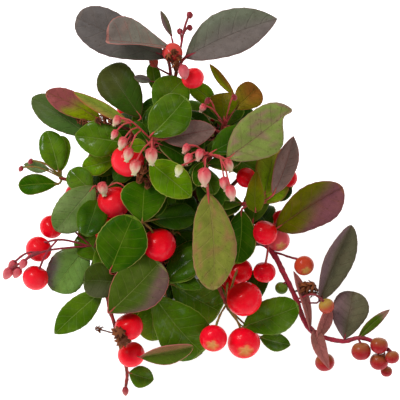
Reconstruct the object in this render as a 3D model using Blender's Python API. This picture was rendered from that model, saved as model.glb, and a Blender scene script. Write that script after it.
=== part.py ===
"""Wintergreen plant growing in a small plain nursery pot.

The plant is made of leafy shoots. Each shoot is a woody stem that rises from the peat and a leafy
mass on its end: a twig with leaves, berries and blossom fused to it. Sizes are in millimetres and
are turned into metres when a sub-part is made. The pot stands on the origin, with Z up.
"""

import math
import random
from collections import namedtuple
from itertools import product

import bmesh
import bpy
from mathutils import Vector
from mathutils.bvhtree import BVHTree

# Pot and peat
METRES = 0.001
GAP = 0.3
WELD = 1e-7
POT_HEIGHT = 55.0
POT_FOOT_RADIUS = 22.0
POT_MOUTH_RADIUS = 29.6
POT_WALL = 1.2
POT_FLOOR = 1.6
RIM_RADIUS = 31.0
RIM_DEPTH = 7.0
RIM_LIP = 1.0
FOOT_BEVEL = 1.2
RIM_BEVEL = 0.6
POT_SIDES = 32
DRAIN_COUNT = 4
DRAIN_RADIUS = 2.6
DRAIN_RING = 13.5
DRAIN_SIDES = 8
PEAT_TOP = 50.0
PEAT_EDGE_DROP = 1.0
PEAT_EDGE_WIDTH = 1.5

# Stems
STEM_FOOT_RADIUS = 1.5
STEM_TIP_RADIUS = 0.95
STEM_FLARE = 1.5
STEM_SIDES = 6
STEM_STEPS = 6
PATH_STEPS = 60
KNOT_STEPS = 12
TWIG_SIDES = 4
TWIG_STEPS = 4
TWIG_STEP_LENGTH = 7.0
TWIG_TIP_RADIUS = 0.7
ROOT_STEP = 0.55
ROOTS_IN_WHORL = 9
STALK_RADIUS = 0.42
STALK_SIDES = 3
ROOT_SINK = 0.35
ROOT_RADIUS = 0.24

# Leaves: half width at stations along the blade, as fractions
LEAF_STATIONS = ((0.0, 0.07), (0.27, 0.76), (0.6, 1.0), (0.88, 0.64))
FILL_STATIONS = ((0.0, 0.07), (0.4, 0.95), (0.8, 0.85))
LEAF_THICKNESS = 0.02
LEAF_THICKNESS_LEAST = 0.5
PETIOLE_HALF_WIDTH = 0.45
OWN_BLADE_START = 1
PETIOLE_LENGTH = 1.0

# Fruit and blossom
BERRY_FLATNESS = 0.94
BERRY_RING_ANGLES = (28, 73, 118, 155)
BERRY_SIDES = 7
FLOWER_RINGS = ((0.0, 0.35), (0.38, 1.0), (1.0, 0.35))
FLOWER_SIDES = 5
FLOWER_WIDTH = 0.66
FRUIT_SWING = 0.5
FRUIT_NOD = 0.45
FRUIT_CROWN = 0.36
STALK_END_SINK = 0.4
STALK_BEND = 0.6
STALK_OWN_START = 0.4

# The crown's face leans 30 degrees from level, toward the light in front of the plant
FACE_BEARING = -90.0
FACE_RISE = 60.0
RIM_CENTRE = Vector((0.0, 0.0, POT_HEIGHT))
UPWARD = Vector((0.0, 0.0, 1.0))

# Ways a leaf or a berry may shift, in order, until nothing of another shoot is in its place
LEAF_SHIFTS = ((0, 0), (6, 0), (-6, 0), (12, 0), (-12, 0), (18, 0), (-18, 0), (8, 7), (8, -7),
               (-8, 7), (-8, -7), (26, 0), (-26, 0), (16, 10), (16, -10), (-16, 10), (-16, -10))
FRUIT_SHIFTS = (0.0, 1.5, -1.5, 3.0, -3.0, 5.0, -5.0, 7.0, -7.0)
STALK_ARCHES = (0.18, 0.4, -0.05)

# Filling leaves: reach from the middle of the crown's face, each 22.5 degrees, and open windows
FACE_MIDDLE = (16.7, 5.8)
REACH = (47, 42, 46, 46, 44, 48, 50, 52, 55, 57, 54, 52, 56, 52, 30, 36)
SKY_WINDOWS = ((32, 14.6, 4.2), (-5.8, -53.3, 4.2), (28.3, -46.3, 3.6), (24.6, -44.2, 3),
               (42.5, -15.8, 4.2), (50, -25.8, 7.8), (-38.8, -10.4, 5), (-5.8, 52.5, 3),
               (-0.8, 67, 3.5), (64, -42, 5))
GOLDEN_TURN = 137.5
FILL_TRIES = 7
FILL_LENGTH = (15.0, 22.0)
FILL_WIDTH = (0.52, 0.68)
FILL_FOLD = (4, 14)
FILL_CURL = (15, 35)
FILL_PITCH = (-22.0, 24.0)
FILL_SWAY = 20.0
FILL_PETIOLE = 3.0
FILL_LEVELS = 6
FILL_LEVEL_RANGE = (0.1, 0.75)
FILL_FACING = 0.4
LOWEST_LEAF = 6.0

Axes = namedtuple("Axes", "across up out")
Item = namedtuple("Item", "shoot whole own centre reach")
Leaf = namedtuple("Leaf", "turn length width lean base back fold curl roll named",
                  defaults=(0.0, (0.0, 0.0, 0.0), 0.0, 10.0, 22.0, 0.0, True))
Berry = namedtuple("Berry", "across up out size back", defaults=(0.0,))
Flower = namedtuple("Flower", "across up out size back", defaults=(0.0,))
Shoot = namedtuple("Shoot", "name path twig leaves berries flowers fill bearing rise",
                   defaults=((), (), (), 3, FACE_BEARING, FACE_RISE))

SHOOTS = (
    Shoot("front_middle", ((-4, -7, PEAT_TOP), (-7, -14, 74), (-7.5, -22.5, 88)), 20, leaves=(
        Leaf(86, 17.5, 19, 8, (0, -1, 1)),
        Leaf(6, 19, 11, -14, (4.5, 1, -3))), berries=(
        Berry(6.7, -9.6, -4, 15),), fill=3),
    Shoot("whorl_left", ((-3, 2, PEAT_TOP), (-4, 4, 84), (-3, 5, 113)), 44, leaves=(
        Leaf(47, 22, 17, 4, (-1.5, -1, 2)),
        Leaf(-40, 22.5, 15.5, 6, (-1.5, -5.6, 8), 10),
        Leaf(50, 18, 16, -6, (1, 11, -5), 4),
        Leaf(12, 23, 11.5, -2, (3.5, -2, -1)),
        Leaf(-27, 19, 13, -8, (1, -4, -3), 4),
        Leaf(188, 8, 6, 25, (-1.5, -4, 3))), flowers=(
        Flower(-14.6, 6.3, 6, 5), Flower(-15.6, 0.6, 6, 4.2),
        Flower(-12.2, -2.9, 8, 5.6), Flower(-9.8, -7.5, 9, 6),
        Flower(-0.3, -8, 10, 7.2), Flower(-7, -12.6, 8, 6.5)), berries=(
        Berry(-10, -5.5, 0, 14, 10),), fill=7),
    Shoot("whorl_right", ((8, 0, PEAT_TOP), (15, 2, 84), (20, -0.5, 108)), 42, leaves=(
        Leaf(-87, 41, 18.5, 6, (2, -12, 12), 10),
        Leaf(38, 34, 21.5, 2, (7.3, -3.6, 0))), flowers=(
        Flower(-8.9, 2, 4, 4.6), Flower(-8.1, -2.2, 5, 5),
        Flower(-3.4, -0.5, 6, 5), Flower(-1.3, -9.2, 9, 7.8),
        Flower(8.5, -4.8, 5, 5.6), Flower(6.9, -12.3, 6, 6), Flower(9.5, -16, 6, 6.4),
        Flower(-11.9, -7, 9, 5)), fill=6),
    Shoot("crown_top", ((3, 15, PEAT_TOP), (4, 25, 90), (7, 34, 118.5)), 48, leaves=(
        Leaf(154, 41, 19, 4, (-3, 4, 1)),
        Leaf(24, 41, 19.5, 4, (3.5, 3.5, 1)),
        Leaf(169, 28, 18, 14, (-1, 8.5, 7), 0, 45, 14, 45),
        Leaf(113, 12, 4.5, 4, (-1.7, 12.5, 2)),
        Leaf(97, 12, 6, 2, (-7.5, -1.5, 2), 12),
        Leaf(170, 8, 4, 0, (-6, 1, 0), 2)), berries=(
        Berry(-1.7, 6.5, 6, 8.5), Berry(6.7, -4, 6, 9.5)), flowers=(
        Flower(5.4, 22.3, 3, 4), Flower(5.4, 17, 3, 3.6), Flower(1.3, 15.5, 3, 3.6),
        Flower(3, -1, 8, 5)), fill=7),
    Shoot("upper_left", ((-8, 9, PEAT_TOP), (-11, 12, 80), (-12, 14, 105)), 40, leaves=(
        Leaf(124, 27, 17, -6, (4.5, 3, -2)),
        Leaf(151, 27, 6.5, 10, (0, 1, 3)),
        Leaf(172, 21, 15, 4, (-2, -5, 2), 4),
        Leaf(195, 15, 9, -5, (-6, -9, 0), 8)), fill=6),
    Shoot("far_left", ((-15, 11, PEAT_TOP), (-22, 15, 78), (-26, 18, 95.5)), 32, leaves=(
        Leaf(147, 30, 13, -4, (-3, -3, 0)),
        Leaf(153, 26, 10.5, 8, (2, 3.5, 2))), fill=5),
    Shoot("upper_right", ((13, 9, PEAT_TOP), (22, 16, 80), (28, 19, 101)), 38, leaves=(
        Leaf(95, 11, 13, 0, (-1, 0, 1)),
        Leaf(40, 14, 10, 2, (3.5, 4, 0)),
        Leaf(127, 16.5, 4.5, 0, (2.5, 11, 0)),
        Leaf(140, 14, 8, 0, (-4, 6, -2)),
        Leaf(-10, 20, 13, -22, (0, 0, 0), 6)), fill=6),
    Shoot("right_high", ((19, -2, PEAT_TOP), (32, -6, 73), (42.5, -10.5, 83.5)), 22, leaves=(
        Leaf(66, 26, 10.5, 8, (4.6, 2.6, 2), 0, 14, 22, 25),
        Leaf(76, 22, 12.5, -4, (1, 2, -1)),
        Leaf(-95, 23, 13, 2, (-4.8, -2, 2.5), 5),
        Leaf(88, 18, 8, 14, (-2.5, -5, 5))), berries=(
        Berry(-6.3, 10.4, 0, 8.5), Berry(12.8, 10.4, -6, 8)), fill=4),
    Shoot("right_low", ((18, -10, PEAT_TOP), (33, -14, 68), (49, -17, 70.5)), 18, leaves=(
        Leaf(30, 31, 20, 4, (-1, 1.5, 1)),), berries=(
        Berry(-4.4, -0.8, 2, 11.5), Berry(2.5, -3.5, -4, 9.5),
        Berry(2, 5, -7, 8), Berry(-5, -17, -1, 9.5)), fill=3),
    Shoot("trailing", ((15, -15, PEAT_TOP), (24, -18, 61), (36, -19.5, 65), (45, -19, 62), (52, -30.7, 58),
                       (57, -39.7, 53), (63, -50, 44.5), (77, -53.4, 41.5),
                       (85.5, -52.5, 43), (96.5, -57, 39.5)), 78, leaves=(
        Leaf(63, 34, 14, 2, (7, 3.5, 2), 49),
        Leaf(79, 20.5, 15.5, 6, (0, 0, 1), 21),
        Leaf(101, 25, 6, 10, (0, 0, 3), 36, 14, 22, 50),
        Leaf(63, 16, 7, 4, (1, 1, 2), 36, 14, 22, 40),
        Leaf(-72, 14, 9, 2, (2, 0, 0), 36),
        Leaf(40, 17, 6, 4, (0, 0, 1), 17)), berries=(
        Berry(12, -5.4, 3, 8.5, 72), Berry(11, 1.5, 2, 6.7, 46), Berry(3.5, -12, 0, 8.3, 33),
        Berry(-3, -2, 1, 5.5, 58), Berry(0.5, -5, 2, 7.5, 14), Berry(-0.5, 0, 4, 7, 5),
        Berry(-1, -6.5, 3, 7.5, 5), Berry(-1, -2.5, 1, 6), Berry(-3, -9, 0, 4.5)), fill=0),
    Shoot("lower_right", ((10, -15, PEAT_TOP), (20, -31, 66), (29, -46, 54)), 26, leaves=(
        Leaf(20, 25, 15.5, 6, (5, -7, 3)),
        Leaf(-14, 14, 8, -6, (12, -11, -3)),
        Leaf(75, 16, 9, -14, (10, -2, -5), 4)), berries=(
        Berry(6.3, 5, 3, 15), Berry(4.6, 16.7, -2, 10.5), Berry(-6.3, -10.8, 2, 11),
        Berry(5.8, -13, 0, 13)), fill=4),
    Shoot("bottom", ((1, -15, PEAT_TOP), (1, -31, 66), (0, -42.5, 65)), 22, leaves=(
        Leaf(-56, 33, 22, -10, (-2.5, -1, 3)),
        Leaf(-30, 24, 20, -6, (4, 3, -3)),
        Leaf(-88, 18, 14, -14, (-3, -2, -3)),
        Leaf(-112, 15, 12, -14, (-4, 0, -4))), fill=4),
    Shoot("bottom_left", ((-8, -16, PEAT_TOP), (-15, -33, 68), (-21.5, -44.5, 65), (-19.6, -51, 55.5),
                          (-16.7, -56.8, 45.3), (-14, -63.6, 34.4), (-14.6, -68.2, 27.2)), 62, leaves=(
        Leaf(45, 30, 22.5, 8, (-0.5, -3.5, 7), 41),
        Leaf(67, 26, 21, 16, (-3.5, 1.4, 6), 54),
        Leaf(176, 17.5, 15, 2, (4, -2.5, 0.5), 54),
        Leaf(-138, 28, 12.5, -2, (-2.5, 8.5, -1), 39),
        Leaf(-1, 24, 10, 8, (5, -0.5, 6), 19, 30, 22, 35),
        Leaf(-20, 11, 8, 4, (1, 0, 0), 9)), berries=(
        Berry(5, 3, 3, 12, 27), Berry(4, -2, 3, 11.5, 19)), flowers=(
        Flower(0, -1, 0, 4),), fill=2),
    Shoot("left_low", ((-14, -9, PEAT_TOP), (-24, -19, 68), (-29, -25.5, 66)), 18, leaves=(
        Leaf(-128, 23, 17, 4, (-1, 3, 1)),
        Leaf(122, 15, 14, -4, (5, -4, 2)),
        Leaf(-60, 17, 12, -12, (1, 0, -2))), berries=(
        Berry(-16.7, 11.3, 0, 10), Berry(-22, 2, 1, 11),
        Berry(-23.3, -10, 2, 11), Berry(7, 9.5, 3, 11)), flowers=(
        Flower(-33, -6.4, 2, 4.6), Flower(-31.4, -3.6, 2, 4.6), Flower(-28.6, -6, 2, 4.6),
        Flower(-27, -2.6, 2, 4.2)), fill=3),
    Shoot("left_middle", ((-12, -3, PEAT_TOP), (-21, -4, 74), (-26, -5, 84.5)), 24, leaves=(
        Leaf(-130, 25, 15.5, 4, (-1, 2.5, 1)),
        Leaf(135, 13, 11, 0, (-2, -1, 0))), berries=(
        Berry(6.7, -5, 2, 14),), flowers=(
        Flower(2, 1.3, 6, 6), Flower(13, -1, 6, 6)), fill=5),
    Shoot("left_sprig", ((-19, 3, PEAT_TOP), (-31, 4, 72), (-42.5, 3.5, 80)), 24, leaves=(
        Leaf(107, 18, 11.5, 2, (0, 2, 0)),
        Leaf(88, 16, 8.5, -4, (2, 2, 0)),
        Leaf(183, 16, 9, 2, (-1, -3, 0)),
        Leaf(168, 10, 5, 4, (-3, 1, 0))), flowers=(
        Flower(-16, 4, 2, 3), Flower(-12, 7, 2, 3)), fill=2),
    Shoot("heart", ((4, -8, PEAT_TOP), (5, -12, 60), (5, -16.5, 68)), 12, leaves=(
        Leaf(70, 18, 15, -8),
        Leaf(15, 18, 14, -8),
        Leaf(-50, 13, 11, -4, (2, 1, 0)),
        Leaf(125, 17, 14, -10)), fill=3),
    Shoot("back_left", ((-7, 17, PEAT_TOP), (-13, 24, 68), (-17, 28, 78)), 22,
          berries=(Berry(-6, 2, 6, 10),), fill=9, bearing=118.0, rise=35.0),
    Shoot("back_right", ((9, 18, PEAT_TOP), (19, 26, 68), (25, 30, 78)), 22,
          berries=(Berry(5, 2, 6, 11),), fill=9, bearing=62.0, rise=35.0),
    Shoot("right_side", ((20, 5, PEAT_TOP), (32, 10, 66), (40, 15, 73)), 20,
          berries=(Berry(3, -3, 5, 10),), fill=8, bearing=15.0, rise=35.0),
    Shoot("left_side", ((-20, -3, PEAT_TOP), (-27, -3, 62), (-31, -2, 68)), 14,
          berries=(Berry(-4, -2, 4, 10),), fill=8, bearing=180.0, rise=35.0),
)


def clear_scene():
    """Remove every object from the scene."""
    for thing in list(bpy.data.objects):
        bpy.data.objects.remove(thing, do_unlink=True)


def make_material(name, colour, roughness):
    """Return a new Principled material."""
    material = bpy.data.materials.new(name)
    material.use_nodes = True
    shader = material.node_tree.nodes["Principled BSDF"]
    shader.inputs["Base Color"].default_value = (*colour, 1.0)
    shader.inputs["Roughness"].default_value = roughness
    return material


def face_axes(bearing, rise):
    """Return the across, up and out directions of a face that looks to a bearing and a rise."""
    turn = math.radians(bearing)
    lift = math.radians(rise)
    out = Vector((math.cos(lift) * math.cos(turn), math.cos(lift) * math.sin(turn), math.sin(lift)))
    across = Vector((-math.sin(turn), math.cos(turn), 0.0))
    return Axes(across, out.cross(across), out)


def place(axes, across, up, out):
    """Return the offset that lies so far across, up and out of a face."""
    return axes.across * across + axes.up * up + axes.out * out


def square_to(direction, along):
    """Return the part of a direction that is square to another one."""
    return (direction - along * direction.dot(along)).normalized()


def smooth_path(points, steps):
    """Return evenly stepped points of a smooth curve through the given points."""
    knots = [Vector(point) for point in points]
    knots = [knots[0] * 2 - knots[1]] + knots + [knots[-1] * 2 - knots[-2]]
    fine = []
    for index in range(1, len(knots) - 2):
        before, start, end, after = knots[index - 1:index + 3]
        for step in range(KNOT_STEPS):
            t = step / KNOT_STEPS
            fine.append(0.5 * (start * 2 + (end - before) * t
                               + (before * 2 - start * 5 + end * 4 - after) * t ** 2
                               + (start * 3 - before - end * 3 + after) * t ** 3))
    fine.append(knots[-2])
    return resample(fine, steps)


def path_length(points):
    """Return the length of a line of points."""
    return sum((end - start).length for start, end in zip(points, points[1:]))


def point_along(points, distance):
    """Return the place at a distance along a line of points."""
    left = distance
    for start, end in zip(points, points[1:]):
        span = (end - start).length
        if left <= span:
            return start.lerp(end, max(left, 0.0) / span)
        left -= span
    return points[-1].copy()


def resample(points, steps):
    """Return the same line with even steps."""
    total = path_length(points)
    return [point_along(points, total * index / steps) for index in range(steps + 1)]


def tube(points, radii, sides, start=None, end=None):
    """Return a closed tube through the points; start and end are the directions its ends face."""
    verts, faces = [], []
    side = Vector((0.31, 0.95, 0.1))
    for index, point in enumerate(points):
        ahead = points[min(index + 1, len(points) - 1)]
        behind = points[max(index - 1, 0)]
        along = (ahead - behind).normalized()
        if index == 0 and start:
            along = start
        if index == len(points) - 1 and end:
            along = end
        side = square_to(side, along)
        other = along.cross(side)
        for k in range(sides):
            angle = math.tau * k / sides
            verts.append(point + (side * math.cos(angle) + other * math.sin(angle)) * radii[index])
    for ring in range(len(points) - 1):
        for k in range(sides):
            a, b = ring * sides + k, ring * sides + (k + 1) % sides
            faces.append((a, b, b + sides, a + sides))
    last = (len(points) - 1) * sides
    faces.append(tuple(range(sides - 1, -1, -1)))
    faces.append(tuple(range(last, last + sides)))
    return verts, faces


def mitred(side, normal, direction):
    """Return the side and up directions of a section that is square to a direction."""
    up = side.cross(direction)
    if up.length < 0.3:
        up = square_to(normal, direction)
    up.normalize()
    return direction.cross(up), up


def leaf_shape(leaf, root, base, along, normal, spare=0.0, first=-1):
    """Return a thin closed leaf; spare thickens it, first leaves out the parts before a station."""
    stations = LEAF_STATIONS if leaf.named else FILL_STATIONS
    side = along.cross(normal)
    bend = math.radians(leaf.curl)
    length = leaf.length + spare
    thick = max(LEAF_THICKNESS_LEAST, LEAF_THICKNESS * leaf.length) / 2 + spare
    slope = math.tan(math.radians(leaf.fold))
    petiole = (base - root).normalized()
    sections = []
    if first < 0:
        small = ROOT_RADIUS + spare
        sections.append((root, *mitred(side, normal, petiole), small, 0.0, small))
    for station, (share, width) in enumerate(stations):
        if station >= first:
            angle = bend * share
            centre = (base + along * (length * math.sin(angle) / bend)
                      - normal * (length * (1 - math.cos(angle)) / bend))
            half = max(width * leaf.width / 2, PETIOLE_HALF_WIDTH) + spare
            lift = slope * (half - PETIOLE_HALF_WIDTH)
            across, up = side, normal * math.cos(angle) + along * math.sin(angle)
            if station == 0:
                across, up = mitred(side, normal, (petiole + along).normalized())
            sections.append((centre, across, up, half, lift, thick))
    verts, faces = [], []
    for centre, across, up, half, lift, depth in sections:
        verts += [centre - across * half + up * lift, centre + up * depth,
                  centre + across * half + up * lift, centre - up * depth]
    verts.append(base + along * (length * math.sin(bend) / bend)
                 - normal * (length * (1 - math.cos(bend)) / bend))
    for ring in range(len(sections) - 1):
        for k in range(4):
            a, b = ring * 4 + k, ring * 4 + (k + 1) % 4
            faces.append((a, a + 4, b + 4, b))
    last, tip = len(sections) * 4 - 4, len(verts) - 1
    faces += [(last + k, tip, last + (k + 1) % 4) for k in range(4)]
    faces.append((0, 1, 2, 3))
    return verts, faces


def berry_shape(centre, axis, radius):
    """Return a berry, a little flat from top to bottom."""
    points, radii = [], []
    for angle in BERRY_RING_ANGLES:
        turn = math.radians(angle)
        points.append(centre - axis * (radius * BERRY_FLATNESS * math.cos(turn)))
        radii.append(radius * math.sin(turn))
    return tube(points, radii, BERRY_SIDES)


def flower_shape(top, axis, size):
    """Return a hanging urn of blossom."""
    points = [top + axis * (size * share) for share, _ in FLOWER_RINGS]
    radii = [width * size * FLOWER_WIDTH / 2 for _, width in FLOWER_RINGS]
    return tube(points, radii, FLOWER_SIDES)


def tree_of(shape):
    """Return the search tree of a shape."""
    return BVHTree.FromPolygons(shape[0], shape[1])


def on_face(point):
    """Return where a point appears on the crown's face."""
    offset = point - RIM_CENTRE
    return offset.dot(CROWN.across), offset.dot(CROWN.up)


def in_own_space(shape):
    """Tell whether a filling leaf stays within the crown's reach and out of its open windows."""
    for vert in shape[0]:
        across, up = on_face(vert)
        ray = math.atan2(up - FACE_MIDDLE[1], across - FACE_MIDDLE[0]) / math.tau * len(REACH)
        low = math.floor(ray)
        share = ray - low
        reach = REACH[low % len(REACH)] * (1 - share) + REACH[(low + 1) % len(REACH)] * share
        if math.hypot(across - FACE_MIDDLE[0], up - FACE_MIDDLE[1]) > reach or vert.z < LOWEST_LEAF:
            return False
        for window in SKY_WINDOWS:
            if math.hypot(across - window[0], up - window[1]) < window[2]:
                return False
    return True


class Plant:
    """Grows the shoots one after another and keeps what each has taken up."""

    def __init__(self):
        """Start with nothing grown."""
        self.items = []
        self.shapes = {shoot.name: [] for shoot in SHOOTS}
        self.twigs = {}
        self.roots = {}

    def clear(self, shoot, wide, own):
        """Tell whether a wide shape misses the other shoots and its own part misses its own shoot."""
        wide_tree, own_tree = tree_of(wide), tree_of(own)
        centre = sum(wide[0], Vector()) / len(wide[0])
        reach = max((vert - centre).length for vert in wide[0])
        for item in self.items:
            if (item.centre - centre).length < reach + item.reach:
                if item.shoot != shoot and wide_tree.overlap(item.whole):
                    return False
                if item.shoot == shoot and item.own and own_tree.overlap(item.own):
                    return False
        return True

    def keep(self, shoot, shape, own=None):
        """Take a shape up into a shoot."""
        centre = sum(shape[0], Vector()) / len(shape[0])
        reach = max((vert - centre).length for vert in shape[0])
        self.items.append(Item(shoot, tree_of(shape), own and tree_of(own), centre, reach))
        if shoot in self.shapes:
            self.shapes[shoot].append(shape)

    def grow_stem(self, shoot):
        """Make a shoot's woody stem and, past a small gap, the twig that carries its leaves."""
        path = smooth_path(shoot.path, PATH_STEPS)
        stem_length = path_length(path) - shoot.twig
        joint = (point_along(path, stem_length + 1) - point_along(path, stem_length - 1)).normalized()
        stem = resample(cut(path, 0.0, stem_length), STEM_STEPS)
        stem[0].z = PEAT_TOP + GAP
        radii = [STEM_FOOT_RADIUS + (STEM_TIP_RADIUS - STEM_FOOT_RADIUS) * index / STEM_STEPS
                 for index in range(STEM_STEPS + 1)]
        radii[0] *= STEM_FLARE
        stem_shape = tube(stem, radii, STEM_SIDES, UPWARD, joint)
        steps = max(TWIG_STEPS, round(shoot.twig / TWIG_STEP_LENGTH))
        twig = resample(cut(path, stem_length + GAP, path_length(path)), steps)
        radii = [STEM_TIP_RADIUS + (TWIG_TIP_RADIUS - STEM_TIP_RADIUS) * index / steps
                 for index in range(steps + 1)]
        self.twigs[shoot.name] = twig
        self.keep(shoot.name + "_stem", stem_shape)
        twig_shape = tube(twig, radii, TWIG_SIDES, joint)
        self.keep(shoot.name, twig_shape, twig_shape)
        return stem_shape

    def station(self, shoot, back):
        """Return the place on a shoot's twig at a distance back from its tip."""
        twig = self.twigs[shoot.name]
        return point_along(twig, path_length(twig) - max(back, ROOT_SINK))

    def root(self, shoot, back):
        """Return where the next leaf or fruit is rooted, a step below the last one."""
        self.roots[shoot.name] = self.roots.get(shoot.name, 0) + 1
        return self.station(shoot, back + ROOT_STEP * (self.roots[shoot.name] % ROOTS_IN_WHORL))

    def try_leaf(self, shoot, leaf, root, base, along, normal):
        """Grow one leaf if its place is free."""
        wide = leaf_shape(leaf, root, base, along, normal, GAP)
        own = leaf_shape(leaf, root, base, along, normal, 0.0, OWN_BLADE_START)
        if not self.clear(shoot.name, wide, own):
            return False
        self.keep(shoot.name, leaf_shape(leaf, root, base, along, normal), own)
        return True

    def grow_leaf(self, shoot, leaf):
        """Grow a named leaf, leaning a little more or less where its place is taken."""
        axes = face_axes(shoot.bearing, shoot.rise)
        anchor = self.station(shoot, leaf.back)
        root = self.root(shoot, leaf.back)
        for lean_shift, turn_shift in LEAF_SHIFTS:
            turn = math.radians(leaf.turn + turn_shift)
            lean = math.radians(leaf.lean + lean_shift)
            along = place(axes, math.cos(lean) * math.cos(turn), math.cos(lean) * math.sin(turn),
                          math.sin(lean))
            normal = square_to(axes.out, along)
            roll = math.radians(leaf.roll)
            normal = normal * math.cos(roll) + along.cross(normal) * math.sin(roll)
            base = anchor + place(axes, *leaf.base) + along * PETIOLE_LENGTH
            if self.try_leaf(shoot, leaf, root, base, along, normal):
                return

    def grow_fruit(self, shoot, fruit, is_berry):
        """Grow a berry or a flower on its arched stalk."""
        axes = face_axes(shoot.bearing, shoot.rise)
        anchor = self.station(shoot, fruit.back)
        root = self.root(shoot, fruit.back)
        for shift, arch in product(FRUIT_SHIFTS, STALK_ARCHES):
            offset = place(axes, fruit.across, fruit.up, fruit.out + shift)
            swing = Vector((offset.x, offset.y, 0.0)).normalized() * FRUIT_SWING
            nod = Vector((axes.out.x, axes.out.y, 0.0)).normalized() * FRUIT_NOD
            hang = (swing + nod - UPWARD).normalized()
            centre = anchor + offset
            top = centre - hang * (fruit.size * FRUIT_CROWN)
            bend = root.lerp(top, STALK_BEND) + UPWARD * (arch * (top - root).length)
            line = (root, bend, top + hang * STALK_END_SINK)
            outer = (root.lerp(bend, STALK_OWN_START), bend, top)
            stalk = tube(line, [ROOT_RADIUS, STALK_RADIUS, STALK_RADIUS], STALK_SIDES)
            wide_stalk = tube(line, [STALK_RADIUS + GAP] * 3, STALK_SIDES)
            own_stalk = tube(outer, [STALK_RADIUS] * 3, STALK_SIDES)
            if is_berry:
                body = berry_shape(centre, hang, fruit.size / 2)
                wide = berry_shape(centre, hang, fruit.size / 2 + GAP)
            else:
                body = flower_shape(top, hang, fruit.size)
                wide = flower_shape(top - hang * GAP, hang, fruit.size + GAP * 3)
            if self.clear(shoot.name, wide, body) and self.clear(shoot.name, wide_stalk, own_stalk):
                self.keep(shoot.name, stalk, own_stalk)
                self.keep(shoot.name, body, body)
                return

    def fill(self, shoot, seed):
        """Grow the seeded leaves that fill a shoot out below its named ones."""
        dice = random.Random(seed)
        grown = 0
        for index in range(shoot.fill * FILL_TRIES):
            if grown == shoot.fill:
                return
            turn = math.radians(shoot.bearing + GOLDEN_TURN * index + dice.uniform(-FILL_SWAY, FILL_SWAY))
            pitch = math.radians(dice.uniform(*FILL_PITCH))
            length = dice.uniform(*FILL_LENGTH)
            leaf = Leaf(0, length, length * dice.uniform(*FILL_WIDTH), fold=dice.uniform(*FILL_FOLD),
                        curl=dice.uniform(*FILL_CURL), named=False)
            level = FILL_LEVEL_RANGE[0] + FILL_LEVEL_RANGE[1] * (index % FILL_LEVELS) / FILL_LEVELS
            root = self.station(shoot, shoot.twig * level)
            radial = Vector((math.cos(turn), math.sin(turn), 0.0))
            along = radial * math.cos(pitch) + UPWARD * math.sin(pitch)
            normal = square_to(radial * FILL_FACING + UPWARD, along)
            base = root + along * FILL_PETIOLE
            if in_own_space(leaf_shape(leaf, root, base, along, normal)):
                grown += self.try_leaf(shoot, leaf, root, base, along, normal)


def cut(points, start, end):
    """Return the part of a line of points between two distances."""
    inner, walked = [point_along(points, start)], 0.0
    for before, point in zip(points, points[1:]):
        walked += (point - before).length
        if start + 0.01 < walked < end - 0.01:
            inner.append(point)
    return inner + [point_along(points, end)]


def make_object(name, shape, material, smooth=False):
    """Return a mesh object made of one shape given in millimetres."""
    mesh = bpy.data.meshes.new(name)
    mesh.from_pydata([vert * METRES for vert in shape[0]], [], shape[1])
    mesh.materials.append(material)
    thing = bpy.data.objects.new(name, mesh)
    bpy.context.scene.collection.objects.link(thing)
    tidy_mesh(thing)
    for polygon in mesh.polygons:
        polygon.use_smooth = smooth
    return thing


def tidy_mesh(thing):
    """Turn the faces outward, keep the largest closed piece and triangulate it."""
    shell = bmesh.new()
    shell.from_mesh(thing.data)
    bmesh.ops.remove_doubles(shell, verts=shell.verts, dist=WELD)
    scraps = [face for island in find_islands(shell)[1:] for face in island]
    bmesh.ops.delete(shell, geom=scraps, context="FACES")
    bmesh.ops.triangulate(shell, faces=shell.faces)
    bmesh.ops.recalc_face_normals(shell, faces=shell.faces)
    shell.to_mesh(thing.data)
    shell.free()


def find_islands(shell):
    """Return the groups of faces that are joined by edges, the largest first."""
    left, islands = set(shell.faces), []
    while left:
        group, border = [], [left.pop()]
        while border:
            face = border.pop()
            group.append(face)
            for edge in face.edges:
                for other in edge.link_faces:
                    if other in left:
                        left.remove(other)
                        border.append(other)
        islands.append(group)
    return sorted(islands, key=len, reverse=True)


def fuse(name, shapes, material):
    """Join the shapes of one leafy mass into a single closed solid."""
    base = make_object(name, shapes[0], material)
    parts = bpy.data.collections.new(name + "_parts")
    bpy.context.scene.collection.children.link(parts)
    for index, shape in enumerate(shapes[1:]):
        piece = make_object(f"{name}_{index}", shape, material)
        bpy.context.scene.collection.objects.unlink(piece)
        parts.objects.link(piece)
    join = base.modifiers.new("join", "BOOLEAN")
    join.operation = "UNION"
    join.operand_type = "COLLECTION"
    join.collection = parts
    join.solver = "MANIFOLD"
    bpy.context.view_layer.objects.active = base
    bpy.ops.object.modifier_apply(modifier=join.name)
    for piece in list(parts.objects):
        bpy.data.objects.remove(piece, do_unlink=True)
    bpy.data.collections.remove(parts)
    tidy_mesh(base)
    return base


def spun_shape(profile, sides):
    """Return a closed ring or disc turned from a profile of radius and height pairs."""
    shell = bmesh.new()
    verts = [shell.verts.new((radius, 0.0, height)) for radius, height in profile]
    edges = [shell.edges.new(pair) for pair in zip(verts, verts[1:])]
    bmesh.ops.spin(shell, geom=verts + edges, cent=(0, 0, 0), axis=(0, 0, 1), angle=math.tau,
                   steps=sides, use_merge=True)
    bmesh.ops.remove_doubles(shell, verts=shell.verts, dist=1e-4)
    shell.verts.index_update()
    shape = ([vert.co.copy() for vert in shell.verts],
             [tuple(vert.index for vert in face.verts) for face in shell.faces])
    shell.free()
    return shape


def wall_radius(height):
    """Return the pot's outer radius at a height."""
    return POT_FOOT_RADIUS + (POT_MOUTH_RADIUS - POT_FOOT_RADIUS) * height / POT_HEIGHT


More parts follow.
